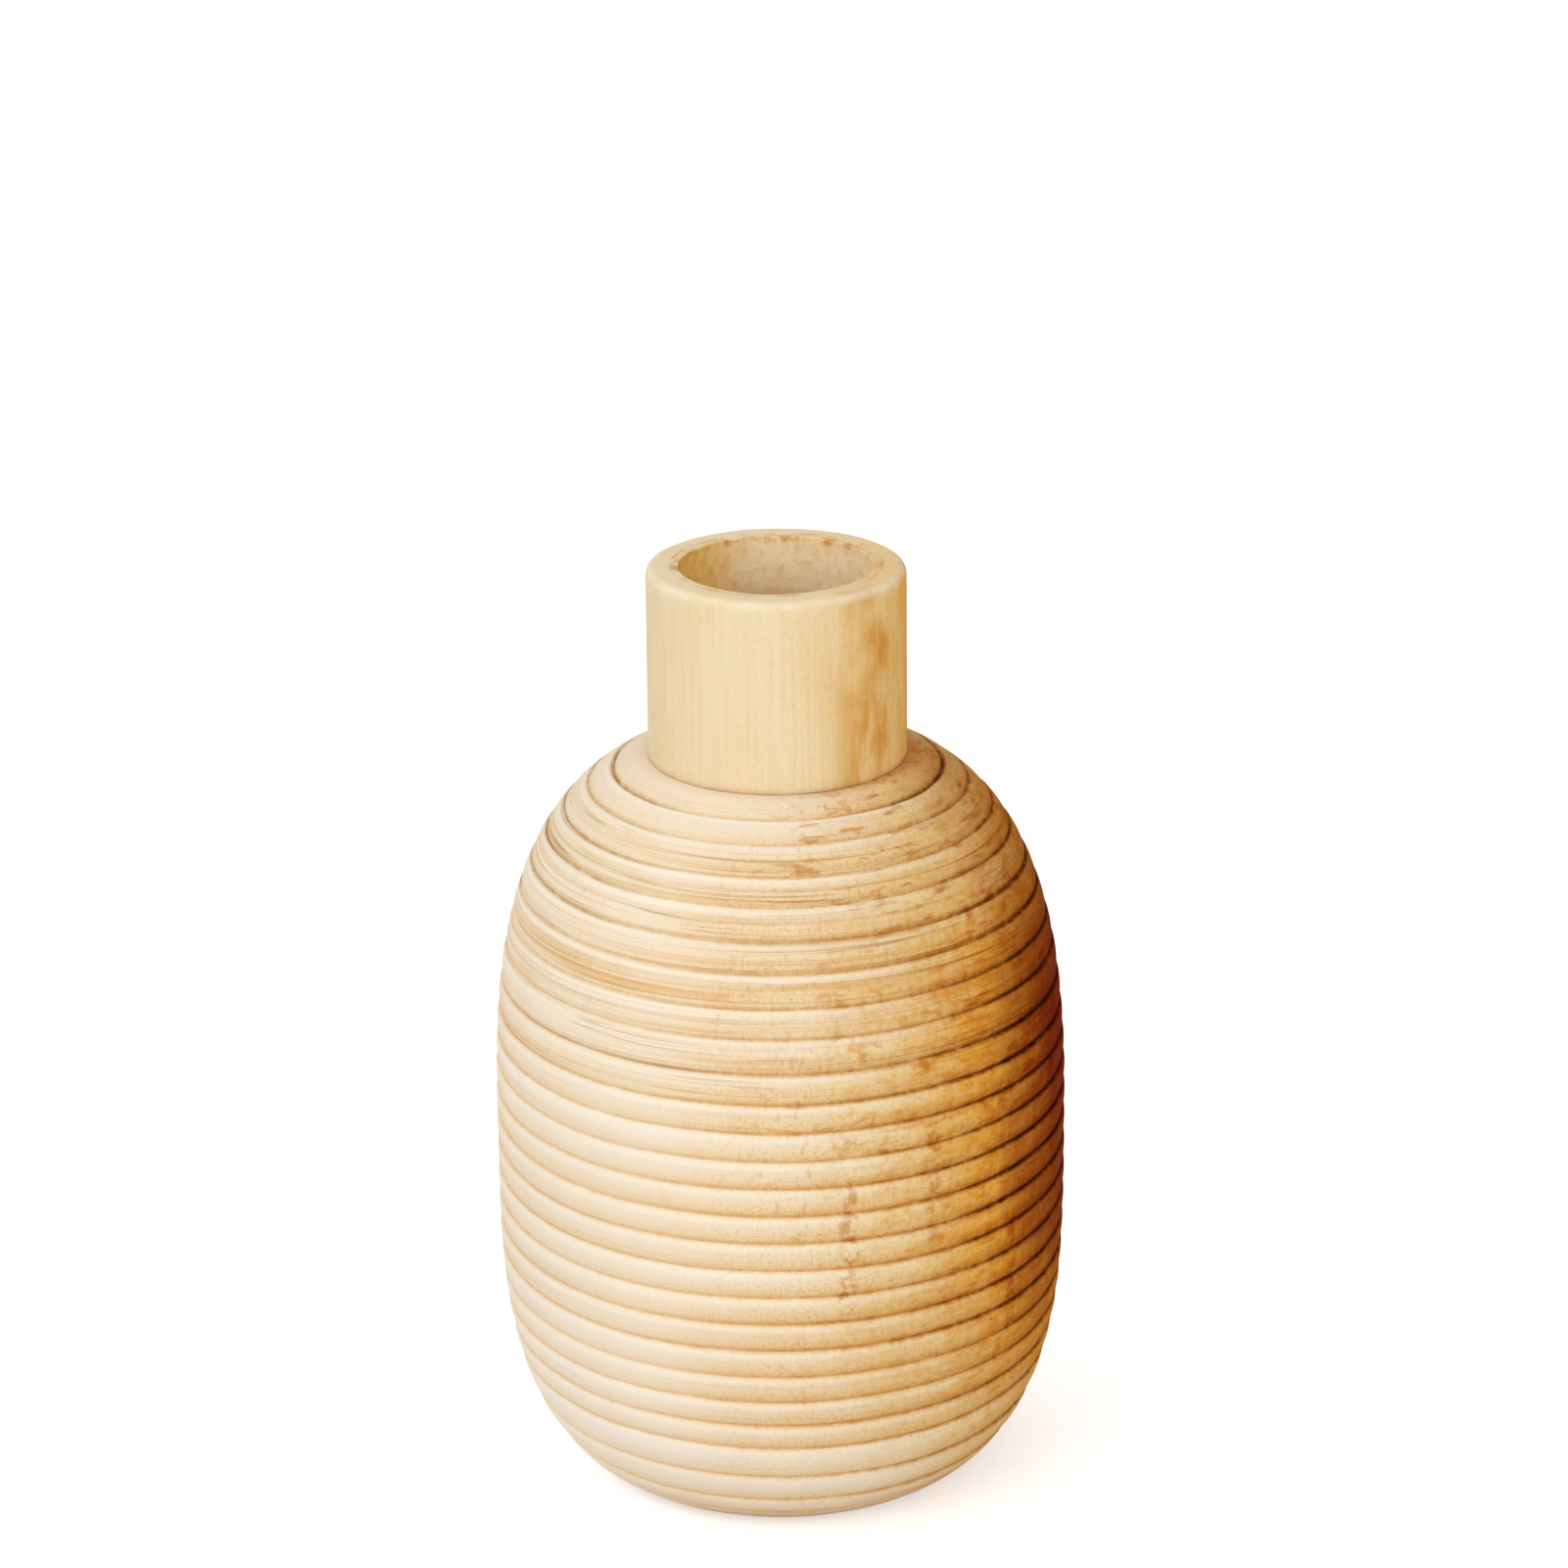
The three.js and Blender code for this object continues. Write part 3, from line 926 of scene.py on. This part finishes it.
def areas_and_painted_light(wood, side, heart):
    """Painted shade down the far side, mottled heartwood, painted light that pales some areas, and
    browner areas: masks by height and side.
    """
    # Painted shade: the far right of the belly, where light turns away, is darkened; weaker at the
    # back.
    wood.stain(far_side_shade(wood, side), PAINTED_SHADE_BROWN)
    mottle = wood.spread(wound(wood, 170, 430, 3, 0.65), 0.5, 0.66)
    mottle = wood.times(mottle, wood.spread(heart, 0.16, 0.5, 0, 0.7))
    wood.stain(mottle, MOTTLE)
    left = wood.spread(side, -0.5, 0.05, 0.6, 0)
    under = wood.spread(wood.z, 0.03, 0.085, 0.4, 0)
    left = wood.math("ADD", left, wood.times(left, under))
    behind = wood.spread(wood.y, 0.0, 0.045, 1, 0.4)
    left = wood.times(left, behind, wood.spread(wood.z, 0.13, 0.165, 1, 0.55))
    foot = wood.spread(wood.z, 0.015, 0.045, 0.75, 0)
    foot = wood.times(foot, wood.spread(side, 0.3, 0.75, 1, 0))
    collar = wood.spread(wood.z, 0.197, 0.205, 0, 0.65)
    collar = wood.times(collar, wood.spread(side, -0.1, 0.6, 1, 0.1))
    # Painted light: the lit left side, the foot lit from the floor below and the up-facing collar are
    # made paler.
    wood.cover(wood.largest(left, foot, collar), PAINTED_LIGHT)
    facing = wood.spread(side, -0.7, -0.05, 0, 0.5)
    facing_up = wood.times(facing, wood.spread(wood.z, 0.19, 0.208, 1, 0))
    wood.tinge(wood.z, 0.125, 0.18, facing_up, UPPER_FRONT)
    drop = wood.math("ABSOLUTE", wood.math("SUBTRACT", wood.z, LOWER_FRONT_AT))
    low_band = wood.times(wood.spread(drop, 0.012, 0.03, 1, 0), facing)
    wood.stain(low_band, LOWER_FRONT)


# %% [markdown]
# Next is what the tools left: fine lines, soft bands and a few scribed lines round the
# shoulder, and torn grain and curls on the right, where the gouge met the fibres. Noise that
# is stretched round the vase draws the lines, and the contours of a slow noise draw the curls.

# %% Tool marks
TURNING_LINE = (0.88, 0.77, 0.60)
STREAK = (0.90, 0.73, 0.50)
SCRIBE = (0.66, 0.50, 0.34)
TORN_GRAIN = (0.76, 0.46, 0.18)
CURL = (0.82, 0.56, 0.28)


def tool_marks(wood, side, rough):
    """Lines, bands, torn grain and curls; hands back the marks that the bump uses too."""
    scored = wood.largest(rough, wood.spread(side, 0.1, 0.6, 0, 0.4))
    line = wound(wood, 5, 1100, 2, 0.6)
    band = wound(wood, 11, 260, 3, 0.55)
    scribe = contour(wood, wound(wood, 5, 560, 1, 0.5), 0.028)
    scribe = wood.times(scribe, wood.spread(band, 0.38, 0.54), rough)
    wood.tinge(line, 0.5, 0.72, scored, TURNING_LINE)
    wood.tinge(band, 0.5, 0.72, scored, STREAK)
    wood.stain(scribe, SCRIBE)
    loose = wood.spread(wood.z, 0.105, 0.135, 0.0, 0.9)
    torn = wood.spread(wound(wood, 90, 340, 3, 0.6), 0.54, 0.67)
    patch = wood.spread(wood.noise(34, 2), 0.42, 0.58)
    torn = wood.times(torn, patch, wood.spread(side, -0.3, 0.3), loose)
    wood.stain(torn, TORN_GRAIN)
    curl = contour(wood, wood.noise(110, 2, up=1.5), 0.07)
    some = wood.spread(wood.noise(75, 1), 0.56, 0.62)
    curl = wood.times(curl, some, wood.spread(side, -0.1, 0.3, 0, 0.8), loose)
    wood.stain(curl, CURL)
    return line, band, torn


# %% [markdown]
# The pores of the wood show as short upright ticks, crowded in some places. A few rows of
# them line up over several ribs, so each row is given by its angle from the front in degrees
# and by the heights between which it runs.

# %% Pores
PORE = (0.80, 0.54, 0.27)
TICK = (0.74, 0.46, 0.20)
TICK_LINES = ((13, 0.078, 0.112), (31, 0.095, 0.122), (52, 0.06, 0.09))
TICK_FADE = 6 * MM


def tick_line(wood, degrees, low, high):
    """Short brown marks that line up over several ribs, along one upright line of the wood."""
    angle = wood.math("ARCTAN2", wood.x, wood.times(wood.y, -1))
    apart = wood.math("SUBTRACT", angle, math.radians(degrees))
    apart = wood.pushed(apart, wood.noise(90, 2), 0.1)
    near = wood.spread(wood.math("ABSOLUTE", apart), 0.012, 0.036, 1, 0)
    above = wood.spread(wood.z, low - TICK_FADE, low)
    below = wood.spread(wood.z, high, high + TICK_FADE, 1, 0)
    broken = wood.spread(wood.noise(260, 3, 0.6), 0.44, 0.58)
    return wood.times(near, broken, above, below)


def pores(wood, side):
    """Ticks of stretched noise where a slower noise crowds them, and the rows of ticks."""
    tick = wood.spread(wood.noise(430, 2, 0.5, up=0.3), 0.56, 0.74)
    crowd = wood.spread(wood.noise(60, 2, up=0.12), 0.5, 0.64)
    mark = wood.times(tick, crowd, wood.spread(side, -0.6, 0.3, 0.15, 0.7))
    wood.stain(mark, PORE)
    for degrees, low, high in TICK_LINES:
        wood.stain(wood.times(tick_line(wood, degrees, low, high), 0.75), TICK)
    return mark


# %% [markdown]
# Each rib then changes from its upper corner to its lower edge: the corner is worn pale and
# gets a painted highlight, and the face grows more dotted and gets painted shade as it falls
# back and turns away from the light. The values that the rib relief stored on the points say
# where on its rib a point is.

# %% Wear, painted shade and painted highlight on the ribs
RIB_TONE = (0.97, 0.90, 0.77)
RIB_PAINTED_SHADE = [(0, (0.95, 0.83, 0.61)), (0.35, (0.88, 0.73, 0.49)), (0.8, (0.66, 0.46, 0.28))]
RIB_DOTS = (0.74, 0.50, 0.24)
WORN_EDGE_AND_HIGHLIGHT = (0.97, 0.89, 0.76)


def rib_wear_and_painted_light(wood, side, heart, fall):
    """A tone for each rib, painted shade and dots that grow down its face, and a worn upper corner
    with a painted highlight.
    """
    wood.tinge(wood.layer("tone"), -1.0, 1.0, 0.5, RIB_TONE)
    # Painted shade: the lower face of each rib, which tilts away from the light, is darkened, less on
    # the left and on the shoulder.
    below_shoulder = wood.spread(wood.z, 0.125, 0.17, 1, 0.5)
    painted_shade = wood.times(wood.spread(fall, 0.0, 1.0, 0, 0.95), below_shoulder)
    painted_shade = wood.times(painted_shade, wood.spread(side, -0.6, 0.0, 0.6, 1))
    wood.stain(painted_shade, wood.ramp(heart, RIB_PAINTED_SHADE))
    dots = wood.spread(wood.noise(1300, 2, 0.6), 0.56, 0.70)
    dots = wood.times(dots, wood.spread(fall, 0.0, 0.9, 0.25, 1.0))
    dots = wood.times(dots, wood.spread(side, -0.5, 0.15, 0.1, 0.6))
    wood.stain(dots, RIB_DOTS)
    # Wear and painted highlight: the upper corner of each rib is made paler, less on the heartwood
    # side that turns from the light.
    glint = wood.math("SUBTRACT", 0.5, wood.times(heart, 1.1), clamp=True)
    wood.cover(wood.times(wood.layer("corner"), glint), WORN_EDGE_AND_HIGHLIGHT)


# %% [markdown]
# Last comes the dirt, with painted shade in the grooves. Dust and oil sit in the grooves, more
# in some places than in others. The grooves are faint on the lit left and nearly black in the
# heartwood on the far side, partly dirt and partly painted shade, and a painted shadow darkens
# the foot of each rib there. On the sides of the shoulder the grooves are drawn like ink. The
# foot is soiled where it stood.

# %% Dirt and painted shade in the grooves
PAINTED_GROOVE_SHADOW = (0.34, 0.20, 0.11)
GRIME_AND_SHADE = [
    (0, (0.96, 0.86, 0.68)), (0.12, (0.88, 0.71, 0.46)), (0.4, (0.66, 0.46, 0.24)),
    (0.75, (0.2, 0.11, 0.06))]
ROUGH_GROOVE = (0.80, 0.70, 0.58)
INK = (0.56, 0.42, 0.29)
FOOT_DIRT = (0.84, 0.64, 0.40)


def groove_dirt_and_shade(wood, side, heart, fall, rough, band):
    """The groove layer times dust noise and masks by side and height, in colours that are part grime,
    part painted shade.
    """
    # Painted shadow: the lowest part of each rib on the heartwood side is darkened almost to black.
    groove_shadow = wood.times(wood.spread(fall, 0.7, 0.97), wood.spread(heart, 0.42, 0.75, 0, 0.8))
    wood.stain(groove_shadow, PAINTED_GROOVE_SHADOW)
    dust = wood.spread(wood.noise(300, 3, 0.65), 0.3, 0.65, 0.3, 1.0)
    # Partly painted shade: the grooves darken least on the lit left and most where the heartwood turns
    # from the light.
    paler = wood.spread(side, -0.8, 0.05, 0.4, 1.0)
    paler = wood.largest(paler, wood.spread(wood.z, 0.15, 0.19, 0, 0.85))
    aside = wood.spread(wood.math("ABSOLUTE", side), 0.4, 0.8)
    in_front = wood.largest(aside, wood.spread(wood.z, 0.125, 0.17, 1, 0.65))
    groove = wood.times(wood.layer("groove"), dust, paler, in_front)
    wood.stain(groove, wood.ramp(heart, GRIME_AND_SHADE))
    wood.stain(wood.times(groove, rough), ROUGH_GROOVE)
    inked = wood.times(groove, aside, wood.spread(wood.z, 0.165, 0.19, 0, 0.8))
    wood.stain(inked, INK)
    stood = wood.times(wood.spread(wood.z, 0.003, 0.016, 0.8, 0), wood.spread(band, 0.4, 0.6))
    wood.stain(stood, FOOT_DIRT)


# %% [markdown]
# Put together, these steps make the body's finish. A shallow bump lets the turning lines, the
# fibres, the pores and the torn grain catch the light as well.

# %% Ribbed body finish
BODY_BUMP = 0.18 * MM


def body_finish():
    """The wood base with areas, tool marks, pores, wear and dirt, painted light and shade, and a bump
    made of the marks.
    """
    wood, side, heart, fibre = wood_base(
        "ribbed body wood", CREAM, belly_strength, ring_streaks, 0.2, 0.65)
    rough = shoulder_turning(wood)
    fall = wood.layer("fall")
    areas_and_painted_light(wood, side, heart)
    line, band, torn = tool_marks(wood, side, rough)
    mark = pores(wood, side)
    rib_wear_and_painted_light(wood, side, heart, fall)
    groove_dirt_and_shade(wood, side, heart, fall, rough, band)
    grain = wood.times(wood.math("ADD", line, band), rough)
    grain = wood.math("SUBTRACT", grain, wood.times(fibre, 0.25))
    grain = wood.math("SUBTRACT", grain, wood.times(wood.math("ADD", mark, torn), 0.6))
    wood.bump(grain, BODY_BUMP)
    return wood


body_finish().give(upper_body, lower_body)

# %% [markdown]
# The neck has a mark of its own, a brown water stain that runs down its right side, and its
# bore has painted light and shade: orange on the left where light bounces between the wood
# walls, and darker further down. The outside gets painted light on the lip top and a painted
# highlight on the rim. The bore is coloured on its own and then mixed in by a layer that is 1
# on the bore, and the marks on the lip come last.

# %% Neck finish
NECK_CREAM = (0.86, 0.70, 0.465)
NECK_HEART = 0.5
LIP_PAINTED_LIGHT = (0.95, 0.80, 0.53)
WATER_TINT = (0.96, 0.80, 0.50)
WATER_STAIN = (0.82, 0.54, 0.20)
BORE_PAINTED_LIGHT = [(0, (1.0, 0.65, 0.17)), (0.4, (1.0, 0.81, 0.51)), (1, (1.0, 0.82, 0.55))]
SCRAPED = (0.84, 0.62, 0.36)
BORE_SPOTS = (0.82, 0.58, 0.30)
BORE_PAINTED_SHADE = (0.76, 0.50, 0.26)
CREASE = (0.74, 0.54, 0.30)
HANDLED = (0.92, 0.76, 0.50)
CHIPPED = (0.74, 0.48, 0.22)
CRACK = (0.70, 0.44, 0.18)
SEAM = (0.76, 0.56, 0.34)
NECK_BUMP = 0.16 * MM


def neck_outside(wood, side, run):
    """The water stain by side and noise, the worn rim with a painted highlight, and painted light that
    makes the top of the lip paler.
    """
    patch = wood.noise(48, 2, 0.5, up=0.7)
    within = wood.times(wood.spread(side, 0.3, 0.68), wood.spread(side, 0.8, 1.0, 1, 0.4))
    within = wood.times(within, wood.spread(wood.y, -0.004, 0.02, 1, 0.4))
    wood.stain(wood.times(within, 0.28), WATER_TINT)
    blotched = wood.times(wood.spread(run, 0.38, 0.6), wood.spread(patch, 0.44, 0.58))
    wood.stain(wood.times(within, blotched, 0.9), WATER_STAIN)
    # Wear and painted highlight: the rounded outer edge of the lip is made paler.
    rubbed_and_highlit = wood.times(wood.layer("corner"), wood.spread(run, 0.4, 0.65, 0.05, 0.5))
    wood.cover(rubbed_and_highlit, WORN_EDGE_AND_HIGHLIGHT)
    # Painted light: the top of the lip, which faces up to the light, is made paler.
    lit_lip_top = wood.spread(wood.z, lip_z - 2.2 * MM, lip_z - 0.4 * MM, 0, 0.5)
    wood.cover(lit_lip_top, LIP_PAINTED_LIGHT)


def neck_bore(wood, scrape, rot):
    """The bore's colour across x, with painted bounce light that is orange on the left, scraped,
    spotted and with painted shade further down.
    """
    outside = wood.colour
    # Painted light: the bore is orange on the left and pale on the right, standing in for light
    # bounced between the wood walls.
    across = wood.spread(wood.math("DIVIDE", wood.x, BORE_RADIUS), -1.0, 0.6)
    wood.colour = wood.ramp(across, BORE_PAINTED_LIGHT)
    wood.tinge(scrape, 0.45, 0.7, 0.25, SCRAPED)
    wood.tinge(rot, 0.46, 0.70, 0.5, BORE_SPOTS)
    # Painted shade: the bore darkens further down, where the lip keeps the light out.
    bore_shade = wood.spread(wood.z, lip_z - 20 * MM, lip_z - 13 * MM, 0.7, 0)
    wood.stain(bore_shade, BORE_PAINTED_SHADE)
    wood.colour = wood.mix(wood.layer("bore"), outside, wood.colour)


def neck_marks(wood, run, scrape, rot):
    """A crease round the lip, a handled mouth, browned chips and cracks, and the seam below."""
    crease = wood.times(wood.layer("crease"), wood.spread(run, 0.42, 0.6, 0.0, 0.8))
    wood.stain(crease, CREASE)
    handled = wood.times(wood.layer("mouth"), wood.spread(run, 0.35, 0.65, 0.1, 0.8))
    wood.stain(handled, HANDLED)
    chipped = wood.times(wood.layer("wear"), wood.spread(scrape, 0.3, 0.65, 0.3, 1.2))
    wood.tinge(chipped, 0.05, 0.8, 0.8, CHIPPED)
    crack = wood.times(wood.layer("edge"), wood.spread(rot, 0.42, 0.64))
    crack = wood.times(crack, wood.spread(wood.y, 0.0, 0.02, 0, 0.75))
    wood.stain(crack, CRACK)
    seam = wood.times(wood.layer("groove"), wood.spread(run, 0.35, 0.6, 0.1, 0.4))
    wood.stain(seam, SEAM)


def neck_finish():
    """The wood base with a stain down one side, a bore with painted light and shade, and marks and
    painted light on the lip.
    """
    wood, side, _, fibre = wood_base(
        "plain neck wood", NECK_CREAM, lambda made: NECK_HEART, upright_streaks, 0.34, 0.26)
    run = wood.noise(95, 4, 0.6, up=0.3)
    scrape = wood.noise(320, 3, 0.6, up=0.5)
    rot = wood.noise(380, 4, 0.7)
    neck_outside(wood, side, run)
    neck_bore(wood, scrape, rot)
    neck_marks(wood, run, scrape, rot)
    wood.bump(wood.times(fibre, -0.3), NECK_BUMP)
    return wood


neck_finish().give(neck)

# %% [markdown]
# ## Plug, cork, glass and felt
# The plug shows end grain with growth rings and turning marks. Cork is a pressed mass of
# granules, which Voronoi cells draw well. The liner is clear glass with a breath of green.
# Felt is a mat of fibres: noise in two sizes and no gloss at all.

# %% Other finishes
PITH = (0.021, -0.034, 0)
PLUG_RINGS = [(0, (0.56, 0.34, 0.14)), (0.55, (0.68, 0.45, 0.21)), (1, (0.73, 0.52, 0.27))]
PLUG_PORE = (0.55, 0.36, 0.18)
PLUG_LINE = (0.75, 0.58, 0.38)
GRANULES = 420.0
CORK_BROWNS = [(0, (0.30, 0.15, 0.06)), (0.6, (0.50, 0.29, 0.13)), (1, (0.64, 0.42, 0.22))]
CORK_GAP = (0.16, 0.07, 0.03)
GLASS_TINT = (0.85, 0.905, 0.875)
FELT_BROWNS = [(0.3, (0.07, 0.045, 0.03)), (0.7, (0.24, 0.17, 0.12))]


def plug_finish():
    """End grain: rings round an off-centre pith, broken by pores and turning marks."""
    plug = Finish("plug end grain")
    off = plug.node("Mapping", Vector=plug.where, Location=PITH).outputs[0]
    rings = plug.node("TexWave", Vector=off, Scale=95.0, Distortion=3.5, Detail=3.0)
    rings.wave_type = "RINGS"
    rings.rings_direction = "Z"
    plug.colour = plug.ramp(rings.outputs["Fac"], PLUG_RINGS)
    dots = plug.noise(1500, 2)
    plug.stain(plug.spread(dots, 0.55, 0.7, 0, 0.6), PLUG_PORE)
    turned = plug.node("CombineXYZ", X=plug.times(plug.layer("along"), 900))
    line = plug.noise(1, 2, at=turned.outputs[0])
    plug.stain(plug.spread(line, 0.4, 0.7, 0, 0.35), PLUG_LINE)
    plug.fill(plug.shader, Roughness=0.72)
    plug.bump(plug.math("SUBTRACT", line, dots), 0.15 * MM)
    return plug


def cork_finish():
    """Granules as Voronoi cells of many browns, with dark gaps between them."""
    cork = Finish("pressed cork")
    cells = cork.node("TexVoronoi", Vector=cork.where, Scale=GRANULES)
    shade = cork.node("SeparateColor", Color=cells.outputs["Color"]).outputs[0]
    cork.colour = cork.ramp(shade, CORK_BROWNS)
    gap = cork.node("TexVoronoi", Vector=cork.where, Scale=GRANULES)
    gap.feature = "DISTANCE_TO_EDGE"
    edge = cork.spread(gap.outputs["Distance"], 0.0, 0.12, 0.75, 0)
    cork.cover(edge, CORK_GAP)
    cork.fill(cork.shader, Roughness=0.9)
    cork.bump(cork.times(edge, -1), 0.3 * MM)
    return cork


def glass_finish():
    """Clear glass with faint drawing marks along the tube.

    Light from lamps, and light that the wood or the glass itself throws back, goes straight
    through, so that the bore behind the glass is lit and the rim doesn't turn black."""
    glass = Finish("clear liner glass")
    glass.colour = (*GLASS_TINT, 1)
    smear = glass.spread(glass.noise(120, 2, up=0.1), 0.3, 0.8, 0.01, 0.05)
    glass.fill(glass.shader, Transmission_Weight=1.0, IOR=1.5, Roughness=smear)
    glass.bump(glass.noise(90, 1, up=0.04), 0.05 * MM)
    path = glass.node("LightPath").outputs
    clear = glass.node("BsdfTransparent", Color=glass.colour).outputs["BSDF"]
    surface = glass.shader.outputs["BSDF"]
    for kind in ("Is Diffuse Ray", "Is Glossy Ray", "Is Shadow Ray"):
        surface = glass.either(path[kind], surface, clear)
    glass.fill(glass.tree.nodes["Material Output"], Surface=surface)
    return glass


def felt_finish():
    """Pressed wool: coarse and fine noise together, with a soft sheen."""
    felt = Finish("brown felt")
    coarse = felt.noise(900, 4, 0.7)
    fine = felt.noise(4200, 3, 0.7)
    both = felt.math("ADD", felt.times(coarse, 0.6), felt.times(fine, 0.4))
    felt.colour = felt.ramp(both, FELT_BROWNS)
    felt.fill(felt.shader, Roughness=1.0, Specular_IOR_Level=0.1, Sheen_Weight=0.3)
    felt.bump(both, 0.3 * MM)
    return felt


plug_finish().give(base_plug)
cork_finish().give(cushion)
glass_finish().give(liner)
felt_finish().give(*pads)

# %% [markdown]
# ## Floor, light and camera
# The vase stands on a plain white floor that reaches past the picture on all sides. One soft
# box lights it from the front left and another from the front right. The rest comes from a
# sky that is bright overhead and darker on the right, where the wood turns away into shade.
# To the camera, through glass and in gloss the surroundings are plain white instead.

# %% Floor
FLOOR_HALF = 9.0
FLOOR_WHITE = (0.88, 0.875, 0.87, 1)
floor_mesh = bpy.data.meshes.new("floor")
floor_corners = [(x * FLOOR_HALF, y * FLOOR_HALF, 0) for x, y in ((-1, -1), (1, -1), (1, 1), (-1, 1))]
floor_mesh.from_pydata(floor_corners, [], [(0, 1, 2, 3)])
floor = bpy.data.objects.new("floor", floor_mesh)
bpy.context.scene.collection.objects.link(floor)


def floor_finish():
    """Matt white that glows a little to the camera, so that it reads as white and keeps a shadow."""
    white = Finish("white floor")
    glow = white.times(white.seen(), white.spread(white.from_axis(), 0.25, 1.5, 0.5, 1.0))
    white.colour = FLOOR_WHITE
    white.fill(white.shader, Roughness=1.0, Specular_IOR_Level=0.0,
               Emission_Color=(1, 1, 1, 1), Emission_Strength=glow)
    return white


floor_finish().give(floor)

# %% Light
AIM_HEIGHT = 1.4 * belly_radius
SKY_LEFT = 0.62
SKY_RIGHT = 0.18
SKY_LOW = 0.9
SKY_TOP = 2.1


def soft_light(name, azimuth, elevation, distance, size, level):
    """A square soft box aimed at the belly; a level of 1 lights a facing surface as written."""
    turn, rise = math.radians(azimuth), math.radians(elevation)
    level_away = math.cos(rise)
    away = np.array([math.sin(turn) * level_away, -math.cos(turn) * level_away, math.sin(rise)])
    lamp = bpy.data.lights.new(name, "AREA")
    lamp.shape = "SQUARE"
    lamp.size = size
    lamp.energy = level * math.pi**2 * distance**2
    holder = bpy.data.objects.new(name, lamp)
    holder.location = np.array([0, 0, AIM_HEIGHT]) + away * distance
    holder.rotation_euler = Vector(-away).to_track_quat("-Z", "Y").to_euler()
    bpy.context.scene.collection.objects.link(holder)
    print(f"{name}: {size} m wide, {distance} m away")


soft_light("key soft box", -46, 31, 1.8, 1.3, 0.255)
soft_light("fill soft box", 31, 22, 2.0, 1.4, 0.325)


def studio_world():
    """White to the camera, glass and gloss; to all else a sky, bright overhead, darker at +X."""
    world = bpy.data.worlds.new("studio")
    bpy.context.scene.world = world
    world.use_nodes = True
    world.node_tree.nodes.clear()
    sky = Nodes(world.node_tree, "Generated")
    slope = sky.spread(sky.x, -1, 1, SKY_LEFT, SKY_RIGHT, "LINEAR")
    rise = sky.spread(sky.z, 0.2, 1, SKY_LOW, SKY_TOP, "LINEAR")
    light = sky.node("Background", Color=(1, 1, 1, 1), Strength=sky.times(slope, rise))
    white = sky.node("Background", Color=(1, 1, 1, 1), Strength=1.0)
    shown = sky.either(sky.seen(), light.outputs[0], white.outputs[0])
    sky.node("OutputWorld", Surface=shown)
    print(f"sky {SKY_LEFT} on the left and {SKY_RIGHT} on the right, times {SKY_LOW} to {SKY_TOP}")


studio_world()

# %% Camera
CAMERA_DISTANCE = 1.404
CAMERA_ELEVATION = math.radians(19.67)
CAMERA_ROLL = math.radians(-0.5)
CAMERA_SIDE = 1.7 * MM
LOOKS_AT_HEIGHT = foot_z + 198.4 * MM
LENS = 116.9

view = bpy.data.cameras.new("camera")
view.lens = LENS
view.sensor_width = 36
view.dof.use_dof = False
camera = bpy.data.objects.new("camera", view)
camera.location = (
    CAMERA_SIDE,
    -CAMERA_DISTANCE * math.cos(CAMERA_ELEVATION),
    LOOKS_AT_HEIGHT + CAMERA_DISTANCE * math.sin(CAMERA_ELEVATION),
)
tilt = Matrix.Rotation(math.pi / 2 - CAMERA_ELEVATION, 3, "X") @ Matrix.Rotation(CAMERA_ROLL, 3, "Z")
camera.rotation_euler = tilt.to_euler()
bpy.context.scene.collection.objects.link(camera)
bpy.context.scene.camera = camera
bpy.context.scene.view_settings.view_transform = "Standard"
print(f"camera {CAMERA_DISTANCE:.2f} m away with a {LENS:.0f} mm lens")
